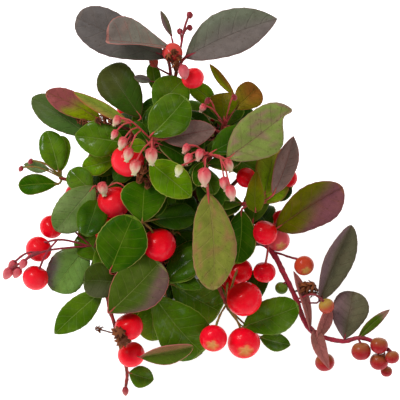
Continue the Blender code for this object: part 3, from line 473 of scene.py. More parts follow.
SHOOTS = (
    Shoot("front_middle", ((-4, -7, PEAT_TOP), (-7, -14, 74), (-7.5, -22.5, 88)), 20, leaves=(
        Leaf(86, 17.5, 19, 8, (0, -1, 1), Look.YELLOW_RIM, Form.ROUND),
        Leaf(6, 19, 11, -14, (4.5, 1, -3), Look.DEEP)), berries=(
        Berry(6.7, -9.6, -4, 15, calyx=Calyx.DRIED),)),
    Shoot("whorl_left", ((-3, 2, PEAT_TOP), (-4, 4, 84), (-3, 5, 113)), 44, leaves=(
        Leaf(47, 22, 17, 4, (-1.5, -1, 2)),
        Leaf(-40, 22.8, 14.6, 6, (-1.5, -5.4, 8), Look.BRIGHT, Form.POINTED, back=10),
        Leaf(50, 18, 16, -6, (1, 11, -5), back=4),
        Leaf(12, 23, 11.5, -2, (3.5, -2, -1), Look.PURPLE, Form.POINTED),
        Leaf(-27, 19, 13, -8, (1, -4, -3), Look.TAN_RIM, back=4),
        Leaf(188, 8, 6, 25, (-1.5, -4, 3), Look.BRIGHT, Form.POINTED)), flowers=(
        Flower(-14.6, 6.3, 6, 5), Flower(-15.6, 0.6, 6, 4.2, bloom=Bloom.PINK, joined=True),
        Flower(-12.2, -2.9, 8, 5.6, joined=True), Flower(-9.8, -7.5, 9, 6, joined=True),
        Flower(-0.3, -8, 10, 7.2), Flower(-7, -12.6, 8, 6.5, joined=True)), berries=(
        Berry(-10, -5.5, 0, 14, 10, Ripeness.SCARLET),), husks=(
        Husk(-3, -8, 6, 4.4, 12), Husk(0, -11, 5, 4.2, 12), Husk(-4.5, -11.5, 4, 4.6, 12),
        Husk(-1.5, -14, 5, 4, 12), Husk(1.5, -7, 4, 3.6, 12)), fill=7),
    Shoot("whorl_right", ((8, 0, PEAT_TOP), (15, 2, 84), (20, -0.5, 108)), 42, leaves=(
        Leaf(-87, 41, 18.5, 6, (2, -12, 12), Look.OLIVE_PINK, back=10),
        Leaf(38, 34.6, 20.2, 2, (7.2, -3.1, 0), Look.MOTTLED, bites=(Bite(1, 0.87, 0.9, 0.15),))), flowers=(
        Flower(-8.9, 2, 4, 4.6, bloom=Bloom.PINK), Flower(-8.1, -2.2, 5, 5, bloom=Bloom.PINK),
        Flower(-3.4, -0.5, 6, 5, bloom=Bloom.PINK), Flower(-1.3, -9.2, 9, 7.8, bloom=Bloom.PINK),
        Flower(8.5, -4.8, 5, 5.6), Flower(6.9, -12.3, 6, 6, bloom=Bloom.PINK, joined=True),
        Flower(9.5, -16, 6, 6.4, bloom=Bloom.PINK, joined=True),
        Flower(-11.9, -7, 9, 5, bloom=Bloom.PALE)), fill=6),
    Shoot("crown_top", ((3, 15, PEAT_TOP), (4, 25, 90), (7, 34, 118.5)), 48, leaves=(
        Leaf(156, 42, 18.5, 4, (-1.6, 14.3, 10.4), Look.PURPLE_GREY, Form.ROUND, back=14),
        Leaf(24, 41.5, 20.8, 4, (2.8, 4.3, 1), Look.GREY_VIOLET, Form.POINTED, fold=22, curl=6, roll=-22),
        Leaf(169, 28, 16.5, 14, (-1, 8.5, 7), Look.BRONZE, Form.SPOON, fold=45, curl=14, roll=45),
        Leaf(113, 12, 3, 4, (-1.7, 12.5, 2), Look.DUSKY, Form.POINTED),
        Leaf(97, 12, 6, 2, (-7.5, -1.5, 2), back=12),
        Leaf(125, 5, 4, 0, (-7.5, 1, 0), Look.REDDISH, Form.POINTED, back=2),
        Leaf(165, 7.5, 3.6, 10, (-9.4, -2.9, 2), Look.GREY_VIOLET, Form.POINTED, back=4)), berries=(
        Berry(-1.7, 6.5, 6, 8.5, ripeness=Ripeness.BLUSHED, calyx=Calyx.DRIED),
        Berry(6.7, -4, 6, 9.5, ripeness=Ripeness.SCARLET)), flowers=(
        Flower(5.4, 22.3, 3, 4, bloom=Bloom.BUD), Flower(5.4, 17, 3, 3.6, bloom=Bloom.BUD, joined=True),
        Flower(1.3, 15.5, 3, 3.6, bloom=Bloom.BUD, joined=True),
        Flower(3, -1, 8, 6.5, bloom=Bloom.ROSY)), husks=(
        Husk(-2.8, 4, 9, 4.6), Husk(-0.4, 1.6, 8, 4.2), Husk(-1, 6.5, 10.5, 3.6),
        Husk(1.2, 4, 9, 3.4)), fill=7),
    Shoot("upper_left", ((-8, 9, PEAT_TOP), (-11, 12, 80), (-12, 14, 105)), 40, leaves=(
        Leaf(124, 27, 17, -6, (4.5, 3, -2), Look.DARK_OLIVE, Form.ROUND),
        Leaf(151, 27, 5.2, 10, (0, 1, 3), Look.RED_EDGED, Form.POINTED),
        Leaf(172, 21.4, 15.4, 4, (-2, -5, 2), form=Form.POINTED, back=4),
        Leaf(195, 15, 9, -5, (-6, -9, 0), Look.BRIGHT, back=8)), husks=(
        Husk(-10.5, 3.5, 2, 4.6), Husk(-13, 2, 1, 3.6), Husk(-8, 1.6, 3, 3)), fill=6),
    Shoot("far_left", ((-15, 11, PEAT_TOP), (-22, 15, 78), (-26, 18, 95.5)), 32, leaves=(
        Leaf(147, 30, 13, -4, (-3, -3, 0), Look.FAR_GREEN),
        Leaf(153, 26, 10.5, 8, (2, 3.5, 2), Look.RED_LIME)), husks=(
        Husk(-5, 3, 2, 4.2), Husk(-7.4, 3.6, 1, 3)), fill=5),
    Shoot("upper_right", ((13, 9, PEAT_TOP), (22, 16, 80), (28, 19, 101)), 38, leaves=(
        Leaf(95, 11, 13, 0, (-1, 0, 1), Look.OLIVE, Form.ROUND),
        Leaf(44, 13.5, 12, 2, (2.6, 4.4, 0), Look.BROWNED, Form.ROUND),
        Leaf(128, 17.4, 3.8, 0, (3.7, 9.8, 0), Look.OLIVE_BROWN, Form.POINTED),
        Leaf(140, 14, 8, 0, (-4, 6, -2), Look.BRIGHT),
        Leaf(-10, 20, 13, -22, (0, 0, 0), Look.DEEP, back=6)), flowers=(
        Flower(-10, 5.6, 8, 4, bloom=Bloom.PINK), Flower(-8, 8.4, 8, 3.6, bloom=Bloom.BUD, joined=True),
        Flower(3, 9.8, 7, 3.6, bloom=Bloom.BUD)), fill=6),
    Shoot("right_high", ((19, -2, PEAT_TOP), (32, -6, 73), (42.5, -10.5, 83.5)), 22, leaves=(
        Leaf(66, 26, 10.5, 8, (4.6, 2.6, 2), Look.PURPLE, Form.POINTED, fold=14, roll=25),
        Leaf(76, 22, 12.5, -4, (1, 2, -1), Look.LIGHT_OLIVE),
        Leaf(-95, 23, 13, 2, (-4.8, -2, 2.5), Look.YELLOW_RIM, back=5),
        Leaf(88, 18, 8, 14, (-2.5, -5, 5), Look.OLIVE, Form.TAPERED),
        Leaf(33, 13, 7, -4, (1.5, -0.5, 0), Look.LIGHT_OLIVE, Form.POINTED, back=2)), berries=(
        Berry(-6.3, 10.4, 0, 8.5), Berry(11.2, 10.2, -6, 8)), fill=4),
    Shoot("right_low", ((18, -10, PEAT_TOP), (33, -14, 68), (49, -17, 70.5)), 18, leaves=(
        Leaf(31, 33, 19.8, 4, (-1, 0.6, 1), Look.FLUSHED_TIP, fold=22, curl=6, roll=22),), berries=(
        Berry(-5, -0.5, 2, 10.8), Berry(1, -3.8, -4, 9.5, 0, Ripeness.PINKISH, shows_tip=True),
        Berry(2, 5, -7, 8), Berry(-5, -17, -1, 9.5))),
    Shoot("trailing", ((15, -15, PEAT_TOP), (24, -18, 61), (36, -19.5, 65), (45, -19, 62), (52, -30.7, 58),
                       (57, -39.7, 53), (63, -50, 44.5), (77, -53.4, 41.5),
                       (85.5, -52.5, 43), (96.5, -57, 39.5)), 78, leaves=(
        Leaf(65.5, 35, 13.6, 2, (8.6, -0.6, 2), Look.DUSKY, back=49, fold=30, curl=6, roll=30),
        Leaf(79, 20.5, 15.5, 6, (0, 0, 1), Look.DUSKY, Form.ROUND, back=21),
        Leaf(98, 25, 6, 10, (0, 0, 3), Look.PINK_PURPLE, Form.POINTED, back=36, fold=14, roll=50),
        Leaf(62, 15, 7, 6, (2.4, -4.5, 3), Look.PINK_PURPLE, Form.POINTED, back=36, fold=14, roll=40),
        Leaf(-69, 18, 6, 8, (1, 1, 3), Look.PINK_PURPLE, Form.TAPERED, back=36),
        Leaf(42, 18.5, 4.3, 4, (1.2, -0.4, 1), Look.PINK_ENDED, Form.POINTED, back=17)), berries=(
        Berry(11.7, -3.2, 6, 8.5, 70, Ripeness.ORANGE, Calyx.OLIVE, shows_tip=True),
        Berry(11, 1.5, 2, 6.7, 46, Ripeness.YELLOW, Calyx.OLIVE),
        Berry(3.5, -12, 0, 8.3, 33, Ripeness.DULL, Calyx.OLIVE),
        Berry(-3, -2, 1, 5.5, 58, Ripeness.GREEN),
        Berry(0.4, -5.6, 2, 8.4, 14, Ripeness.DULL), Berry(-0.5, 0, 4, 7.6, 5, Ripeness.DULL),
        Berry(-0.4, -6.8, 3, 8, 5, Ripeness.DULL), Berry(1, -2.6, 1, 6, 0, Ripeness.DULL),
        Berry(-1.2, -8.8, 0, 5, 0, Ripeness.DULL)), husks=(
        Husk(3.4, 5.4, 3, 8, 50), Husk(6, 3.6, 2, 6, 50)), fill=0),
    Shoot("lower_right", ((10, -15, PEAT_TOP), (20, -31, 66), (29, -46, 54)), 26, leaves=(
        Leaf(20, 25, 15.5, 6, (5, -7, 3)),
        Leaf(-14, 14, 8, -6, (12, -11, -3), form=Form.POINTED),
        Leaf(72, 19, 9, -14, (10, -2, -5), Look.DEEP, back=4)), berries=(
        Berry(6.3, 5, 3, 15, calyx=Calyx.OLIVE), Berry(4.6, 16.7, -2, 10.5),
        Berry(-6.6, -11.4, 2, 11.6, calyx=Calyx.OLIVE, shows_tip=True),
        Berry(6.2, -13.4, 0, 13.8, shows_tip=True), Berry(-0.5, 10.3, -6, 10)), husks=(
        Husk(2.8, 8.4, 9.5, 3.4),), fill=4),
    Shoot("bottom", ((1, -15, PEAT_TOP), (1, -31, 66), (0, -42.5, 65)), 22, leaves=(
        Leaf(-50, 34, 22, -10, (-3.2, -1.4, 3), form=Form.ROUND),
        Leaf(-30, 25.5, 20, -6, (4, 3, -3), form=Form.ROUND),
        Leaf(-90, 20.5, 14, -14, (-3, -2, -3), Look.BRIGHT),
        Leaf(-112, 17, 12, -14, (-4, 0, -4), Look.BRIGHT),
        Leaf(78, 18, 13, -6, (2.8, -8.2, -4.6), Look.DEEP, Form.ROUND, back=3)), fill=4),
    Shoot("bottom_left", ((-8, -16, PEAT_TOP), (-15, -33, 68), (-21.5, -44.5, 65), (-19.6, -51, 55.5),
                          (-16.7, -56.8, 45.3), (-14, -63.6, 34.4), (-14.6, -68.2, 27.2)), 62, leaves=(
        Leaf(45, 30, 22.5, 8, (-0.5, -3.5, 7), Look.FLUSHED_RIGHT, Form.ROUND, back=41),
        Leaf(67, 26, 21, 16, (-3.5, 1.4, 6), Look.YELLOW_RIM, back=54),
        Leaf(176, 17.5, 15, 2, (4, -2.5, 0.5), Look.SHADED, Form.ROUND, back=54),
        Leaf(-138, 28, 12.5, -2, (-2.5, 8.5, -1), form=Form.POINTED, back=39),
        Leaf(5, 23, 9.5, 12, (6.6, -3.2, 10), Look.PINK_RIM, back=19, fold=30, roll=35),
        Leaf(-17, 11, 9.5, 4, (0.2, -0.8, 0), form=Form.POINTED, back=9)), berries=(
        Berry(5, 3, 3, 12, 27, Ripeness.RED, Calyx.DRIED),
        Berry(4, -2, 3, 11.5, 19, Ripeness.RED, Calyx.DRIED)), flowers=(
        Flower(0, -1, 0, 4, bloom=Bloom.BUD),), husks=(
        Husk(0.4, 3.4, 14, 8, 23), Husk(1.6, 0.8, 14, 7, 23), Husk(-7.5, 3.4, 3, 3.6, 25)), fill=2),
    Shoot("left_low", ((-14, -9, PEAT_TOP), (-24, -19, 68), (-29, -25.5, 66)), 18, leaves=(
        Leaf(-128, 23, 17.6, 4, (-1.5, 3.2, 1), Look.FOLDED),
        Leaf(122, 15, 14, -4, (5, -4, 2), form=Form.ROUND),
        Leaf(-60, 17, 12, -12, (1, 0, -2), Look.DEEP)), berries=(
        Berry(7, 9.5, 3, 11), Berry(-16.7, 11.3, 0, 10, 0, Ripeness.RED),
        Berry(-22, 2, 1, 11, 0, Ripeness.SCARLET),
        Berry(-23.3, -10, 2, 11, 0, Ripeness.SCARLET, joined=True)), flowers=(
        Flower(-34.8, -7.8, 2, 6, bloom=Bloom.ROSY),
        Flower(-32.8, -4.6, 2, 5.6, bloom=Bloom.ROSY, joined=True),
        Flower(-30.8, -7.4, 2, 5.6, bloom=Bloom.ROSY, joined=True),
        Flower(-28.2, -3.8, 2, 4.8, bloom=Bloom.ROSY, joined=True))),
    Shoot("left_middle", ((-12, -3, PEAT_TOP), (-21, -4, 74), (-26, -5, 84.5)), 24, leaves=(
        Leaf(-130, 25, 15.5, 4, (-1, 2.5, 1), Look.GREYED),
        Leaf(135, 13, 11, 0, (-2, -1, 0))), berries=(
        Berry(6.7, -5, 2, 14, 0, Ripeness.SCARLET, Calyx.DRIED),), flowers=(
        Flower(2, 1.3, 6, 6), Flower(13, -1, 6, 6)), fill=5),
    Shoot("left_sprig", ((-19, 3, PEAT_TOP), (-31, 4, 72), (-42.5, 3.5, 80)), 24, leaves=(
        Leaf(107, 18, 11.5, 2, (0, 2, 0)),
        Leaf(88, 16, 8.5, -4, (0.6, 2, 0), Look.BRIGHT),
        Leaf(183, 17, 9, 2, (0.4, -2.4, 0), Look.YELLOW_RIM, Form.WEDGE),
        Leaf(168, 11, 5, 4, (-3.4, 3.4, 0), Look.CURLED, Form.POINTED)), flowers=(
        Flower(-16, 4, 2, 3, bloom=Bloom.BUD), Flower(-12, 7, 2, 3, bloom=Bloom.BUD)), fill=2),
    Shoot("heart", ((4, -8, PEAT_TOP), (5, -12, 60), (5, -16.5, 68)), 12, leaves=(
        Leaf(70, 18, 15, -8, look=Look.DEEP),
        Leaf(15, 18, 14, -8, look=Look.DEEP),
        Leaf(-50, 13, 11, -4, (2, 1, 0), Look.DEEP),
        Leaf(125, 17, 14, -10, look=Look.DEEP))),
    Shoot("back_left", ((-7, 17, PEAT_TOP), (-13, 24, 68), (-17, 28, 78)), 22,
          berries=(Berry(-6, 2, 6, 10),), fill=9, bearing=118.0, rise=35.0),
    Shoot("back_right", ((9, 18, PEAT_TOP), (19, 26, 68), (25, 30, 78)), 22,
          berries=(Berry(5, 2, 6, 11),), fill=9, bearing=62.0, rise=35.0),
    Shoot("right_side", ((20, 5, PEAT_TOP), (32, 10, 66), (40, 15, 73)), 20,
          berries=(Berry(3, -3, 5, 10),), fill=8, bearing=15.0, rise=35.0),
    Shoot("left_side", ((-20, -3, PEAT_TOP), (-27, -3, 62), (-31, -2, 68)), 14,
          berries=(Berry(-4, -2, 4, 10),), fill=8, bearing=180.0, rise=35.0),
)


def square_to(direction: Vector, along: Vector) -> Vector:
    """Return the part of a direction that is square to another one."""
    return (direction - along * direction.dot(along)).normalized()


def level(turn: float) -> Vector:
    """Return the level direction at a turn, in radians."""
    return Vector((math.cos(turn), math.sin(turn), 0.0))


def flattened(direction: Vector) -> Vector:
    """Return the level direction nearest to another one."""
    return Vector((direction.x, direction.y, 0.0)).normalized()


def taper(first: float, last: float, steps: int) -> list[float]:
    """Return the values at the ends of even steps from the first to the last."""
    return [first + (last - first) * index / steps for index in range(steps + 1)]


def path_length(points: Sequence[Vector]) -> float:
    """Return the length of a line of points."""
    return sum((end - start).length for start, end in zip(points, points[1:]))


def point_along(points: Sequence[Vector], distance: float) -> Vector:
    """Return the place at a distance along a line of points.

    Args:
        points: the line.
        distance: how far from its start the place lies.

    Returns:
        The place, or the line's start or end where the distance runs past it.
    """
    left = distance
    for start, end in zip(points, points[1:]):
        span = (end - start).length
        if left <= span:
            return start.lerp(end, max(left, 0.0) / span)
        left -= span
    return points[-1].copy()


def resample(points: Sequence[Vector], steps: int) -> list[Vector]:
    """Return the same line with even steps."""
    total = path_length(points)
    return [point_along(points, total * index / steps) for index in range(steps + 1)]


def smooth_path(points: Sequence[Sequence[float]], steps: int) -> list[Vector]:
    """Return a smooth curve through the given points.

    Args:
        points: the places that the curve runs through.
        steps: how many even steps it is given.

    Returns:
        The ends of its steps.
    """
    knots = [Vector(point) for point in points]
    knots = [knots[0] * 2 - knots[1]] + knots + [knots[-1] * 2 - knots[-2]]
    fine = []
    for index in range(1, len(knots) - 2):
        before, start, end, after = knots[index - 1:index + 3]
        for step in range(KNOT_STEPS):
            share = step / KNOT_STEPS
            fine.append(0.5 * (start * 2 + (end - before) * share
                               + (before * 2 - start * 5 + end * 4 - after) * share ** 2
                               + (start * 3 - before - end * 3 + after) * share ** 3))
    fine.append(knots[-2])
    return resample(fine, steps)


def cut(points: Sequence[Vector], start: float, end: float) -> list[Vector]:
    """Return the part of a line of points between two distances.

    Args:
        points: the line.
        start: how far along it the part starts.
        end: how far along it the part ends.

    Returns:
        The part's points.
    """
    inner, walked = [point_along(points, start)], 0.0
    for before, point in zip(points, points[1:]):
        walked += (point - before).length
        if start + SAME_PLACE < walked < end - SAME_PLACE:
            inner.append(point)
    return inner + [point_along(points, end)]


def wall_radius(height: float) -> float:
    """Return the pot's outer radius at a height."""
    return POT_FOOT_RADIUS + (POT_MOUTH_RADIUS - POT_FOOT_RADIUS) * height / POT_HEIGHT


def turned_shell(profile: Profile, sides: int) -> Shell:
    """Turn a profile about the Z axis.

    Args:
        profile: pairs of a radius and a height.
        sides: how many steps the turn takes.

    Returns:
        The turned bmesh.
    """
    shell = bmesh.new()
    verts = [shell.verts.new((radius, 0.0, height)) for radius, height in profile]
    edges = [shell.edges.new(pair) for pair in zip(verts, verts[1:])]
    bmesh.ops.spin(shell, geom=verts + edges, cent=(0, 0, 0), axis=(0, 0, 1), angle=math.tau,
                   steps=sides, use_merge=True)
    bmesh.ops.remove_doubles(shell, verts=shell.verts, dist=SEAM)
    return shell


def pot_profile() -> Profile:
    """Draw the pot's profile, a tapered wall with a banded rim.

    Returns:
        Pairs of a radius and a height.
    """
    band = POT_HEIGHT - RIM_DEPTH
    return ((0, 0), (POT_FOOT_RADIUS - FOOT_BEVEL, 0), (wall_radius(FOOT_BEVEL), FOOT_BEVEL),
            (wall_radius(band), band), (RIM_RADIUS - RIM_BEVEL, band), (RIM_RADIUS, band + RIM_BEVEL),
            (RIM_RADIUS, POT_HEIGHT - RIM_LIP), (RIM_RADIUS - RIM_BEVEL, POT_HEIGHT),
            (wall_radius(POT_HEIGHT) - POT_WALL, POT_HEIGHT),
            (wall_radius(POT_FLOOR) - POT_WALL, POT_FLOOR), (0, POT_FLOOR))


def peat_profile() -> Profile:
    """Draw the profile of the peat that fills the pot to just under its rim.

    Returns:
        Pairs of a radius and a height.
    """
    low = POT_FLOOR + GAP
    edge = PEAT_TOP - PEAT_EDGE_DROP
    return ((0, low), (wall_radius(low) - POT_WALL - GAP, low),
            (wall_radius(edge) - POT_WALL - GAP, edge),
            (wall_radius(PEAT_TOP) - POT_WALL - GAP - PEAT_EDGE_WIDTH, PEAT_TOP), (0, PEAT_TOP))


@dataclass(frozen=True)
class LeafPlace:
    """Where a leaf grows: its root on the twig, the foot of its blade and how the blade lies."""

    leaf: Leaf
    root: Vector
    base: Vector
    along: Vector
    normal: Vector

    @property
    def side(self) -> Vector:
        """Return the direction across the blade."""
        return self.along.cross(self.normal)

    def midrib(self, share: float, spare: float = 0.0) -> tuple[Vector, Vector]:
        """Find a place on the curled midrib.

        Args:
            share: how far along the blade it lies, from 0 to 1.
            spare: what the blade is lengthened by.

        Returns:
            The place, and the way that the blade faces there.
        """
        bend = math.radians(self.leaf.curl)
        angle = bend * share
        length = self.leaf.length + spare
        centre = (self.base + self.along * (length * math.sin(angle) / bend)
                  - self.normal * (length * (1 - math.cos(angle)) / bend))
        return centre, self.normal * math.cos(angle) + self.along * math.sin(angle)


@dataclass(frozen=True)
class FruitPlace:
    """Where a berry, a flower or a husk has grown."""

    fruit: Fruit
    root: Vector
    bend: Vector
    top: Vector
    hang: Vector
    centre: Vector


class Solids:
    """The coarse solids that the growing rule tests against each other."""

    @staticmethod
    def tube(points: Sequence[Vector], radii: Sequence[float], sides: int,
             start: Vector | None = None, end: Vector | None = None) -> Shape:
        """Shape a closed tube.

        Args:
            points: the middles of its rings.
            radii: the radius of each ring.
            sides: how many sides it has.
            start: the way that its first ring faces, if it isn't the line's own.
            end: the same for its last ring.

        Returns:
            The tube's corners and faces.
        """
        verts, faces = [], []
        side = TUBE_SIDE
        for index, point in enumerate(points):
            ahead = points[min(index + 1, len(points) - 1)]
            behind = points[max(index - 1, 0)]
            along = (ahead - behind).normalized()
            if index == 0 and start:
                along = start
            if index == len(points) - 1 and end:
                along = end
            side = square_to(side, along)
            other = along.cross(side)
            for k in range(sides):
                angle = math.tau * k / sides
                verts.append(point + (side * math.cos(angle) + other * math.sin(angle)) * radii[index])
        for ring in range(len(points) - 1):
            for k in range(sides):
                a, b = ring * sides + k, ring * sides + (k + 1) % sides
                faces.append((a, b, b + sides, a + sides))
        last = (len(points) - 1) * sides
        faces.append(tuple(range(sides - 1, -1, -1)))
        faces.append(tuple(range(last, last + sides)))
        return verts, faces

    @staticmethod
    def mitred(side: Vector, normal: Vector, direction: Vector) -> tuple[Vector, Vector]:
        """Set a leaf's section square to a direction.

        Args:
            side: the direction across the blade.
            normal: the way that the blade faces.
            direction: what the section is square to.

        Returns:
            The section's side and up directions.
        """
        up = side.cross(direction)
        if up.length < MITRE_LEAST:
            up = square_to(normal, direction)
        up.normalize()
        return direction.cross(up), up

    @classmethod
    def leaf(cls, place: LeafPlace, spare: float = 0.0, first: int = -1) -> Shape:
        """Shape a thin closed leaf.

        Args:
            place: where the leaf grows.
            spare: how much thicker it is made all round.
            first: the station where it starts, with -1 for the root of its stalk.

        Returns:
            The leaf's corners and faces.
        """
        leaf, side = place.leaf, place.side
        thick = max(LEAF_THICKNESS_LEAST, LEAF_THICKNESS * leaf.length) / 2 + spare
        slope = math.tan(math.radians(leaf.fold))
        petiole = (place.base - place.root).normalized()
        sections = []
        if first < 0:
            small = ROOT_RADIUS + spare
            sections.append((place.root, *cls.mitred(side, place.normal, petiole), small, 0.0, small))
        for station, (share, width) in enumerate(LEAF_STATIONS if leaf.named else FILL_STATIONS):
            if station >= first:
                across = side
                centre, up = place.midrib(share, spare)
                half = max(width * leaf.width / 2, PETIOLE_HALF_WIDTH) + spare
                lift = slope * (half - PETIOLE_HALF_WIDTH)
                if station == 0:
                    across, up = cls.mitred(side, place.normal, (petiole + place.along).normalized())
                sections.append((centre, across, up, half, lift, thick))
        verts, faces = [], []
        for centre, across, up, half, lift, depth in sections:
            verts += [centre - across * half + up * lift, centre + up * depth,
                      centre + across * half + up * lift, centre - up * depth]
        verts.append(place.midrib(1.0, spare)[0])
        for ring in range(len(sections) - 1):
            for k in range(4):
                a, b = ring * 4 + k, ring * 4 + (k + 1) % 4
                faces.append((a, a + 4, b + 4, b))
        last, tip = len(sections) * 4 - 4, len(verts) - 1
        faces += [(last + k, tip, last + (k + 1) % 4) for k in range(4)]
        faces.append((0, 1, 2, 3))
        return verts, faces

    @classmethod
    def berry(cls, centre: Vector, axis: Vector, radius: float) -> Shape:
        """Shape a berry, a little flat from top to bottom.

        Args:
            centre: its middle.
            axis: the way that it hangs.
            radius: its radius.

        Returns:
            The berry's corners and faces.
        """
        turns = [math.radians(angle) for angle in BERRY_RING_ANGLES]
        points = [centre - axis * (radius * BERRY_FLATNESS * math.cos(turn)) for turn in turns]
        return cls.tube(points, [radius * math.sin(turn) for turn in turns], BERRY_SIDES)

    @classmethod
    def flower(cls, top: Vector, axis: Vector, size: float) -> Shape:
        """Shape a hanging urn of blossom.

        Args:
            top: where its stalk ends.
            axis: the way that it hangs.
            size: its length.

        Returns:
            The urn's corners and faces.
        """
        points = [top + axis * (size * share) for share, _ in FLOWER_RINGS]
        radii = [width * size * FLOWER_WIDTH / 2 for _, width in FLOWER_RINGS]
        return cls.tube(points, radii, FLOWER_SIDES)

    @staticmethod
    def turned(profile: Profile) -> Shape:
        """Shape the pot or the peat.

        Args:
            profile: pairs of a radius and a height.

        Returns:
            The corners and faces of the turned shape.
        """
        shell = turned_shell(profile, POT_SIDES)
        shell.verts.index_update()
        shape = ([vert.co.copy() for vert in shell.verts],
                 [tuple(vert.index for vert in face.verts) for face in shell.faces])
        shell.free()
        return shape

    @staticmethod
    def ball_round(shape: Shape) -> tuple[Vector, float]:
        """Return the middle of a shape's corners and how far the furthest one is from it."""
        centre = sum(shape[0], Vector()) / len(shape[0])
        return centre, max((vert - centre).length for vert in shape[0])


@dataclass
class Item:
    """Something grown, as the search trees that later growth is tested against."""

    shoot: str
    whole: BVHTree
    own: BVHTree | None
    centre: Vector
    reach: float


@dataclass
class Growth:
    """Grows the shoots one after another and keeps what each has taken up."""

    crown: Axes = field(default_factory=lambda: Axes.facing(FACE_BEARING, FACE_RISE))
    items: list[Item] = field(default_factory=list)
    stems: dict[str, list[Vector]] = field(default_factory=dict)
    twigs: dict[str, list[Vector]] = field(default_factory=dict)
    roots: dict[str, int] = field(default_factory=dict)
    leaves: dict[str, list[LeafPlace]] = field(default_factory=dict)
    fruits: dict[str, list[FruitPlace]] = field(default_factory=dict)

    def grow(self) -> None:
        """Grow the whole plant in the order that its solids grew in."""
        self.keep("pot", Solids.turned(pot_profile()))
        self.keep("peat", Solids.turned(peat_profile()))
        for shoot in SHOOTS:
            self.leaves[shoot.name] = []
            self.fruits[shoot.name] = []
            self.grow_stem(shoot)
        for shoot in SHOOTS:
            for leaf in shoot.leaves:
                self.grow_leaf(shoot, leaf)
        for shoot in SHOOTS:
            for fruit in shoot.berries + shoot.flowers:
                self.grow_fruit(shoot, fruit)
        for shoot in SHOOTS:
            for husk in shoot.husks:
                self.grow_husk(shoot, husk)
        for seed, shoot in enumerate(SHOOTS):
            self.fill(shoot, seed, shoot.fill, FILL_LENGTH, SKY_WINDOWS)
        kept_open = SKY_WINDOWS + SHOWN_PLACES
        for seed, shoot in enumerate(SHOOTS, EXTRA_SEED):
            self.fill(shoot, seed, EXTRA_PER_SHOOT if shoot.fill else 0, EXTRA_LENGTH, kept_open)
        for seed, shoot in enumerate(SHOOTS, BACK_SEED):
            if shoot.name in BACK_SHOOTS:
                self.fill(shoot, seed, BACK_LEAVES, FILL_LENGTH, kept_open, True)

    def clear(self, shoot: str, wide: Shape, own: Shape) -> bool:
        """Tell whether a place is free.

        Args:
            shoot: the shoot that wants it.
            wide: the shape with a gap round it, which misses all other shoots.
            own: the part of it that also misses its own shoot.

        Returns:
            True if both miss.
        """
        wide_tree, own_tree = BVHTree.FromPolygons(*wide), BVHTree.FromPolygons(*own)
        centre, reach = Solids.ball_round(wide)
        for item in self.items:
            if (item.centre - centre).length < reach + item.reach:
                if item.shoot != shoot and wide_tree.overlap(item.whole):
                    return False
                if item.shoot == shoot and item.own and own_tree.overlap(item.own):
                    return False
        return True

    def keep(self, shoot: str, shape: Shape, own: Shape | None = None) -> None:
        """Take a shape up into a shoot, with the part that its own shoot is to miss."""
        own_tree = BVHTree.FromPolygons(*own) if own else None
        self.items.append(Item(shoot, BVHTree.FromPolygons(*shape), own_tree, *Solids.ball_round(shape)))

    def in_own_space(self, shape: Shape, windows: Sequence[Point]) -> bool:
        """Tell whether a filling leaf stays within the crown's reach.

        Args:
            shape: the leaf's shape.
            windows: what it may not cover, as discs on the crown's face.

        Returns:
            True if it stays in reach and out of the windows.
        """
        for vert in shape[0]:
            offset = vert - RIM_CENTRE
            across, up = offset.dot(self.crown.across), offset.dot(self.crown.up)
            right, rise = across - FACE_MIDDLE[0], up - FACE_MIDDLE[1]
            ray = math.atan2(rise, right) / math.tau * len(REACH)
            low = math.floor(ray)
            share = ray - low
            reach = REACH[low % len(REACH)] * (1 - share) + REACH[(low + 1) % len(REACH)] * share
            if math.hypot(right, rise) > reach or vert.z < LOWEST_LEAF:
                return False
            if any(math.hypot(across - x, up - y) < radius for x, y, radius in windows):
                return False
        return True

    def grow_stem(self, shoot: Shoot) -> None:
        """Make a shoot's woody stem and, past a small gap, the twig that carries its leaves.

        Args:
            shoot: the shoot.
        """
        path = smooth_path(shoot.path, PATH_STEPS)
        stem_length = path_length(path) - shoot.twig
        ahead, behind = (point_along(path, stem_length + reach) for reach in (JOINT_REACH, -JOINT_REACH))
        joint = (ahead - behind).normalized()
        stem = resample(cut(path, 0.0, stem_length), STEM_STEPS)
        stem[0].z = PEAT_TOP + GAP
        radii = taper(STEM_FOOT_RADIUS, STEM_TIP_RADIUS, STEM_STEPS)
        radii[0] *= STEM_FLARE
        self.keep(shoot.name + "_stem", Solids.tube(stem, radii, STEM_SIDES, UPWARD, joint))
        steps = max(TWIG_STEPS, round(shoot.twig / TWIG_STEP_LENGTH))
        twig = resample(cut(path, stem_length + GAP, path_length(path)), steps)
        shape = Solids.tube(twig, taper(STEM_TIP_RADIUS, TWIG_TIP_RADIUS, steps), TWIG_SIDES, joint)
        self.keep(shoot.name, shape, shape)
        self.stems[shoot.name], self.twigs[shoot.name] = stem, twig

    def station(self, shoot: Shoot, back: float) -> Vector:
        """Return the place on a shoot's twig at a distance back from its tip."""
        twig = self.twigs[shoot.name]
        return point_along(twig, path_length(twig) - max(back, ROOT_SINK))

    def root(self, shoot: Shoot, back: float) -> Vector:
        """Return where the next leaf or fruit is rooted, a step below the last one."""
        self.roots[shoot.name] = self.roots.get(shoot.name, 0) + 1
        return self.station(shoot, back + ROOT_STEP * (self.roots[shoot.name] % ROOTS_IN_WHORL))

    def try_leaf(self, shoot: Shoot, place: LeafPlace) -> bool:
        """Grow one leaf if its place is free.

        Args:
            shoot: the leaf's shoot.
            place: the place.

        Returns:
            True if the leaf has grown.
        """
        own = Solids.leaf(place, first=OWN_BLADE_START)
        if not self.clear(shoot.name, Solids.leaf(place, GAP), own):
            return False
        self.keep(shoot.name, Solids.leaf(place), own)
        self.leaves[shoot.name].append(place)
        return True

